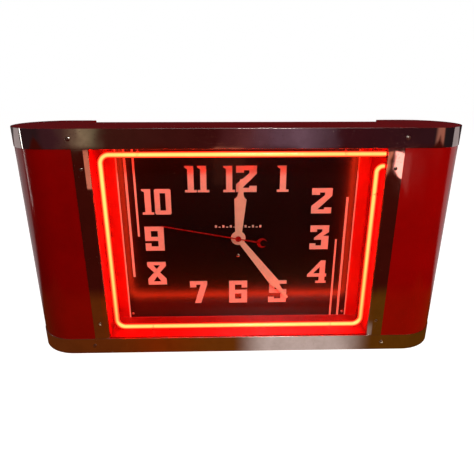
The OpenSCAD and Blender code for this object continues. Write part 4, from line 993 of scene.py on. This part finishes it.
# ---- Floor, light and camera ---------------------------------------------------------------
# A plain pale floor and room for the eye, and soft lights. What the bright metal and the enamel
# mirror is a dark brown room with a few pale doorways, painted as glow into the world and into
# the floor where only mirrors and bounced light see it, laid out by heading round the place
# where the eye's own mirror image stands behind the front. Round the clock the floor's hidden
# side also carries a painted pool of red light from the tube.
room_group, room_in, room_out = make_group(
    "room_mirrored", [("Heading", "NodeSocketFloat", 0.5), ("Middle", "NodeSocketFloat", 1.0),
                      ("Far", "NodeSocketFloat", 1.0)], [("Colour", "NodeSocketColor")])
far_room = ramp(room_group, room_in.outputs["Heading"], [
    (0.000, (0.012, 0.007, 0.008)), (0.095, (0.020, 0.010, 0.012)), (0.105, (0.080, 0.066, 0.064)),
    (0.190, (0.070, 0.058, 0.056)), (0.200, (0.040, 0.028, 0.030)), (0.225, (0.190, 0.170, 0.175)),
    (0.275, (0.170, 0.140, 0.130)), (0.285, (0.030, 0.012, 0.014)), (0.395, (0.030, 0.012, 0.014)),
    (0.4430, (0.055, 0.014, 0.018)), (0.4438, (0.200, 0.110, 0.070)),
    (0.4450, (0.180, 0.090, 0.060)), (0.4456, (0.060, 0.020, 0.016)), (0.4470, (0.090, 0.050, 0.035)),
    (0.4476, (0.800, 0.520, 0.360)), (0.4486, (0.560, 0.370, 0.240)), (0.4494, (0.220, 0.150, 0.085)),
    (0.4530, (0.170, 0.120, 0.070)), (0.4545, (0.060, 0.012, 0.008)),
    (0.497, (0.055, 0.006, 0.006)), (0.507, (0.130, 0.030, 0.032)), (0.518, (0.140, 0.060, 0.085)),
    (0.527, (0.190, 0.095, 0.130)), (0.536, (0.110, 0.050, 0.070)), (0.543, (0.050, 0.007, 0.010)),
    (0.585, (0.030, 0.010, 0.013)), (0.604, (0.380, 0.130, 0.090)), (0.640, (0.420, 0.130, 0.085)),
    (0.650, (0.020, 0.012, 0.013)), (0.70, (0.020, 0.010, 0.012)),
    (0.90, (0.020, 0.010, 0.012)), (1.0, (0.012, 0.007, 0.008))])
# painted light: a pool of red glow from the tube on the floor round the clock, fading through a dim painted
# red ring to the far room
painted_near_glow = ramp(room_group, room_in.outputs["Heading"], [
    (0.00, (0.060, 0.020, 0.015)), (0.40, (0.100, 0.025, 0.006)), (0.455, (0.150, 0.026, 0.003)),
    (0.470, (0.220, 0.024, 0.001)), (0.490, (0.170, 0.036, 0.003)), (0.562, (0.130, 0.040, 0.003)),
    (0.600, (0.100, 0.030, 0.002)), (1.00, (0.060, 0.020, 0.015))])
painted_glow_falloff = mix_colours(room_group, room_in.outputs["Middle"], painted_near_glow, (0.055, 0.0045, 0.0025))
room_group.links.new(mix_colours(room_group, room_in.outputs["Far"], painted_glow_falloff, far_room),
                     room_out.inputs["Colour"])


def place_room(tree, heading):
    room = tree.nodes.new("ShaderNodeGroup")
    room.node_tree = room_group
    tree.links.new(heading, room.inputs["Heading"])
    return room


def heading_of(tree, x, y):
    """0 to 1 once round the clock, 0.5 straight in front."""
    turned = math_node(tree, "ARCTAN2", x, math_node(tree, "MULTIPLY", y, -1.0))
    return math_node(tree, "ADD", math_node(tree, "MULTIPLY", turned, 0.5 / math.pi), 0.5)


def soft_step(tree, value, low, high):
    step = tree.nodes.new("ShaderNodeMapRange")
    step.interpolation_type = "SMOOTHSTEP"
    tree.links.new(value, step.inputs["Value"])
    step.inputs["From Min"].default_value = low
    step.inputs["From Max"].default_value = high
    return step.outputs["Result"]


def only_for_the_eye(tree, seen, mirrored, out):
    """Shows one surface to the camera and the other to everything else."""
    path = tree.nodes.new("ShaderNodeLightPath")
    chosen = tree.nodes.new("ShaderNodeMixShader")
    tree.links.new(path.outputs["Is Camera Ray"], chosen.inputs[0])
    tree.links.new(mirrored, chosen.inputs[1])
    tree.links.new(seen, chosen.inputs[2])
    tree.links.new(chosen.outputs[0], out.inputs[0])


eye_x, eye_y, eye_z = -0.0223, -0.8124, 0.514
# the eye mirrored in the front of the case, and how far the case reaches
mirrored_eye_y = 0.656
case_front = 0.078
case_side = 0.4

deselect_all()
bpy.ops.mesh.primitive_plane_add(size=14, location=(0, 0, 0))
floor = bpy.context.object
floor.name = "floor"
floor_paint = bpy.data.materials.new("pale_floor_with_painted_glow")
floor_paint.use_nodes = True
tree = floor_paint.node_tree
tree.nodes.clear()
floor_out = tree.nodes.new("ShaderNodeOutputMaterial")
pale = add_node(tree, "ShaderNodeBsdfDiffuse", {"Color": (0.40, 0.395, 0.39, 1)})
lift = add_node(tree, "ShaderNodeEmission", {"Color": (1, 1, 1, 1), "Strength": 0.98})
both = tree.nodes.new("ShaderNodeAddShader")
tree.links.new(pale.outputs[0], both.inputs[0])
tree.links.new(lift.outputs[0], both.inputs[1])
where = tree.nodes.new("ShaderNodeTexCoord").outputs["Object"]
spot = add_node(tree, "ShaderNodeSeparateXYZ", {}, Vector=where)
ahead = math_node(tree, "SUBTRACT", spot.outputs["Y"], mirrored_eye_y)
heading = heading_of(tree, math_node(tree, "ADD", spot.outputs["X"], -eye_x), ahead)
before = math_node(tree, "SUBTRACT", math_node(tree, "MULTIPLY", spot.outputs["Y"], -1.0), case_front)
aside = math_node(tree, "SUBTRACT", math_node(tree, "ABSOLUTE", spot.outputs["X"], 0.0), case_side)
distance = math_node(tree, "MAXIMUM", before, aside)
room = place_room(tree, heading)
tree.links.new(soft_step(tree, distance, 0.20, 0.30), room.inputs["Middle"])
tree.links.new(soft_step(tree, distance, 2.5, 2.9), room.inputs["Far"])


def patch_between(tree, heading, left, right, blur):
    """1 between two headings, and 0 on both sides of them."""
    return math_node(tree, "MULTIPLY", soft_step(tree, heading, left - blur, left + blur),
                     soft_step(tree, heading, right + blur, right - blur))


def lay_patch(tree, under, colour, *masks):
    """Lays a colour over what is there, where all of the masks meet."""
    meeting = masks[0]
    for mask in masks[1:]:
        meeting = math_node(tree, "MULTIPLY", meeting, mask)
    return mix_colours(tree, meeting, under, colour)


# a painted pale patch of light on the floor just in front of the clock, which only the lower band mirrors
painted_floor_light = lay_patch(tree, room.outputs[0], (0.66, 0.50, 0.46),
                      patch_between(tree, heading, 0.510, 0.552, 0.008),
                      soft_step(tree, distance, 0.12, 0.06))
# a painted lit doorway on the right, cut off on a slant, and a painted red-orange twin of it that only the
# left strip's slope sees
slant = math_node(tree, "ADD", distance,
                  math_node(tree, "MULTIPLY", math_node(tree, "SUBTRACT", heading, 0.56), 150.0))
painted_floor_light = lay_patch(tree, painted_floor_light, (2.70, 0.95, 0.80),
                      patch_between(tree, heading, 0.5600, 0.5650, 0.0003),
                      soft_step(tree, slant, 1.93, 2.03), soft_step(tree, distance, 2.55, 2.40))
painted_floor_light = lay_patch(tree, painted_floor_light, (0.80, 0.22, 0.13),
                      patch_between(tree, heading, 0.4950, 0.5070, 0.0010),
                      soft_step(tree, distance, 1.40, 1.50), soft_step(tree, distance, 2.70, 2.60))
# a painted pale glow on the floor behind, standing for a pale wall, mirrored only along the outline of the
# ends
painted_floor_light = lay_patch(tree, painted_floor_light, (0.42, 0.34, 0.34), soft_step(tree, spot.outputs["Y"], 0.05, 0.15),
                      soft_step(tree, spot.outputs["Y"], 2.4, 1.8), soft_step(tree, aside, 0.0, 0.05))
# the floor's hidden side: painted light and painted reflections, glowing for every ray but the camera's
painted_light_shader = add_node(tree, "ShaderNodeEmission", {"Strength": 1.0}, Color=painted_floor_light)
only_for_the_eye(tree, both.outputs[0], painted_light_shader.outputs[0], floor_out)
floor.data.materials.append(floor_paint)

world = bpy.data.worlds.new("room")
bpy.context.scene.world = world
world.use_nodes = True
tree = world.node_tree
tree.nodes.clear()
world_out = tree.nodes.new("ShaderNodeOutputWorld")
where = tree.nodes.new("ShaderNodeTexCoord").outputs["Generated"]
direction = add_node(tree, "ShaderNodeSeparateXYZ", {}, Vector=where)
room = place_room(tree, heading_of(tree, direction.outputs["X"], direction.outputs["Y"]))
room_light = add_node(tree, "ShaderNodeBackground", {"Strength": 1.0}, Color=room.outputs[0])
white_room = add_node(tree, "ShaderNodeBackground", {"Color": (1, 1, 1, 1), "Strength": 1.0})
only_for_the_eye(tree, white_room.outputs[0], room_light.outputs[0], world_out)


def soft_light(name, place, target, width, height, power, colour, mirrored=True):
    deselect_all()
    bpy.ops.object.light_add(type="AREA", location=place)
    lamp = bpy.context.object
    lamp.name = name
    lamp.data.shape = "RECTANGLE"
    lamp.data.size = width
    lamp.data.size_y = height
    lamp.data.energy = power
    lamp.data.color = colour
    lamp.rotation_euler = (Vector(target) - Vector(place)).to_track_quat("-Z", "Y").to_euler()
    lamp.visible_camera = False
    lamp.visible_glossy = mirrored


soft_light("key", (0.25, -2.0, 1.62), (0, 0, 0.3), 0.45, 0.30, 15, (1.0, 0.96, 0.92))
soft_light("right", (1.0, -0.75, 0.6), (0.3, 0, 0.2), 0.5, 0.7, 4, (1.0, 0.95, 0.90), False)
soft_light("overhead", (0.2, -0.1, 2.2), (0, 0, 0.2), 1.6, 1.2, 11, (1.0, 0.98, 0.96))
soft_light("rear", (0.0, 2.6, 1.8), (0, 0, 0.2), 3.0, 1.6, 16, (1.0, 0.98, 0.96), False)
soft_light("left_strip", (-1.55, -0.14, 0.02), (-0.4, -0.05, 0.35), 0.05, 1.3, 0.8, (1.0, 0.96, 0.92))

deselect_all()
look_down, look_right = 20.11, 1.40
bpy.ops.object.camera_add(location=(eye_x, eye_y, eye_z),
                          rotation=(math.radians(90 - look_down), 0, math.radians(-look_right)))
camera = bpy.context.object
camera.data.lens = 32.635443
camera.data.sensor_width = 36.0
camera.data.clip_start = 0.01
bpy.context.scene.camera = camera
bpy.context.scene.view_settings.view_transform = "Standard"
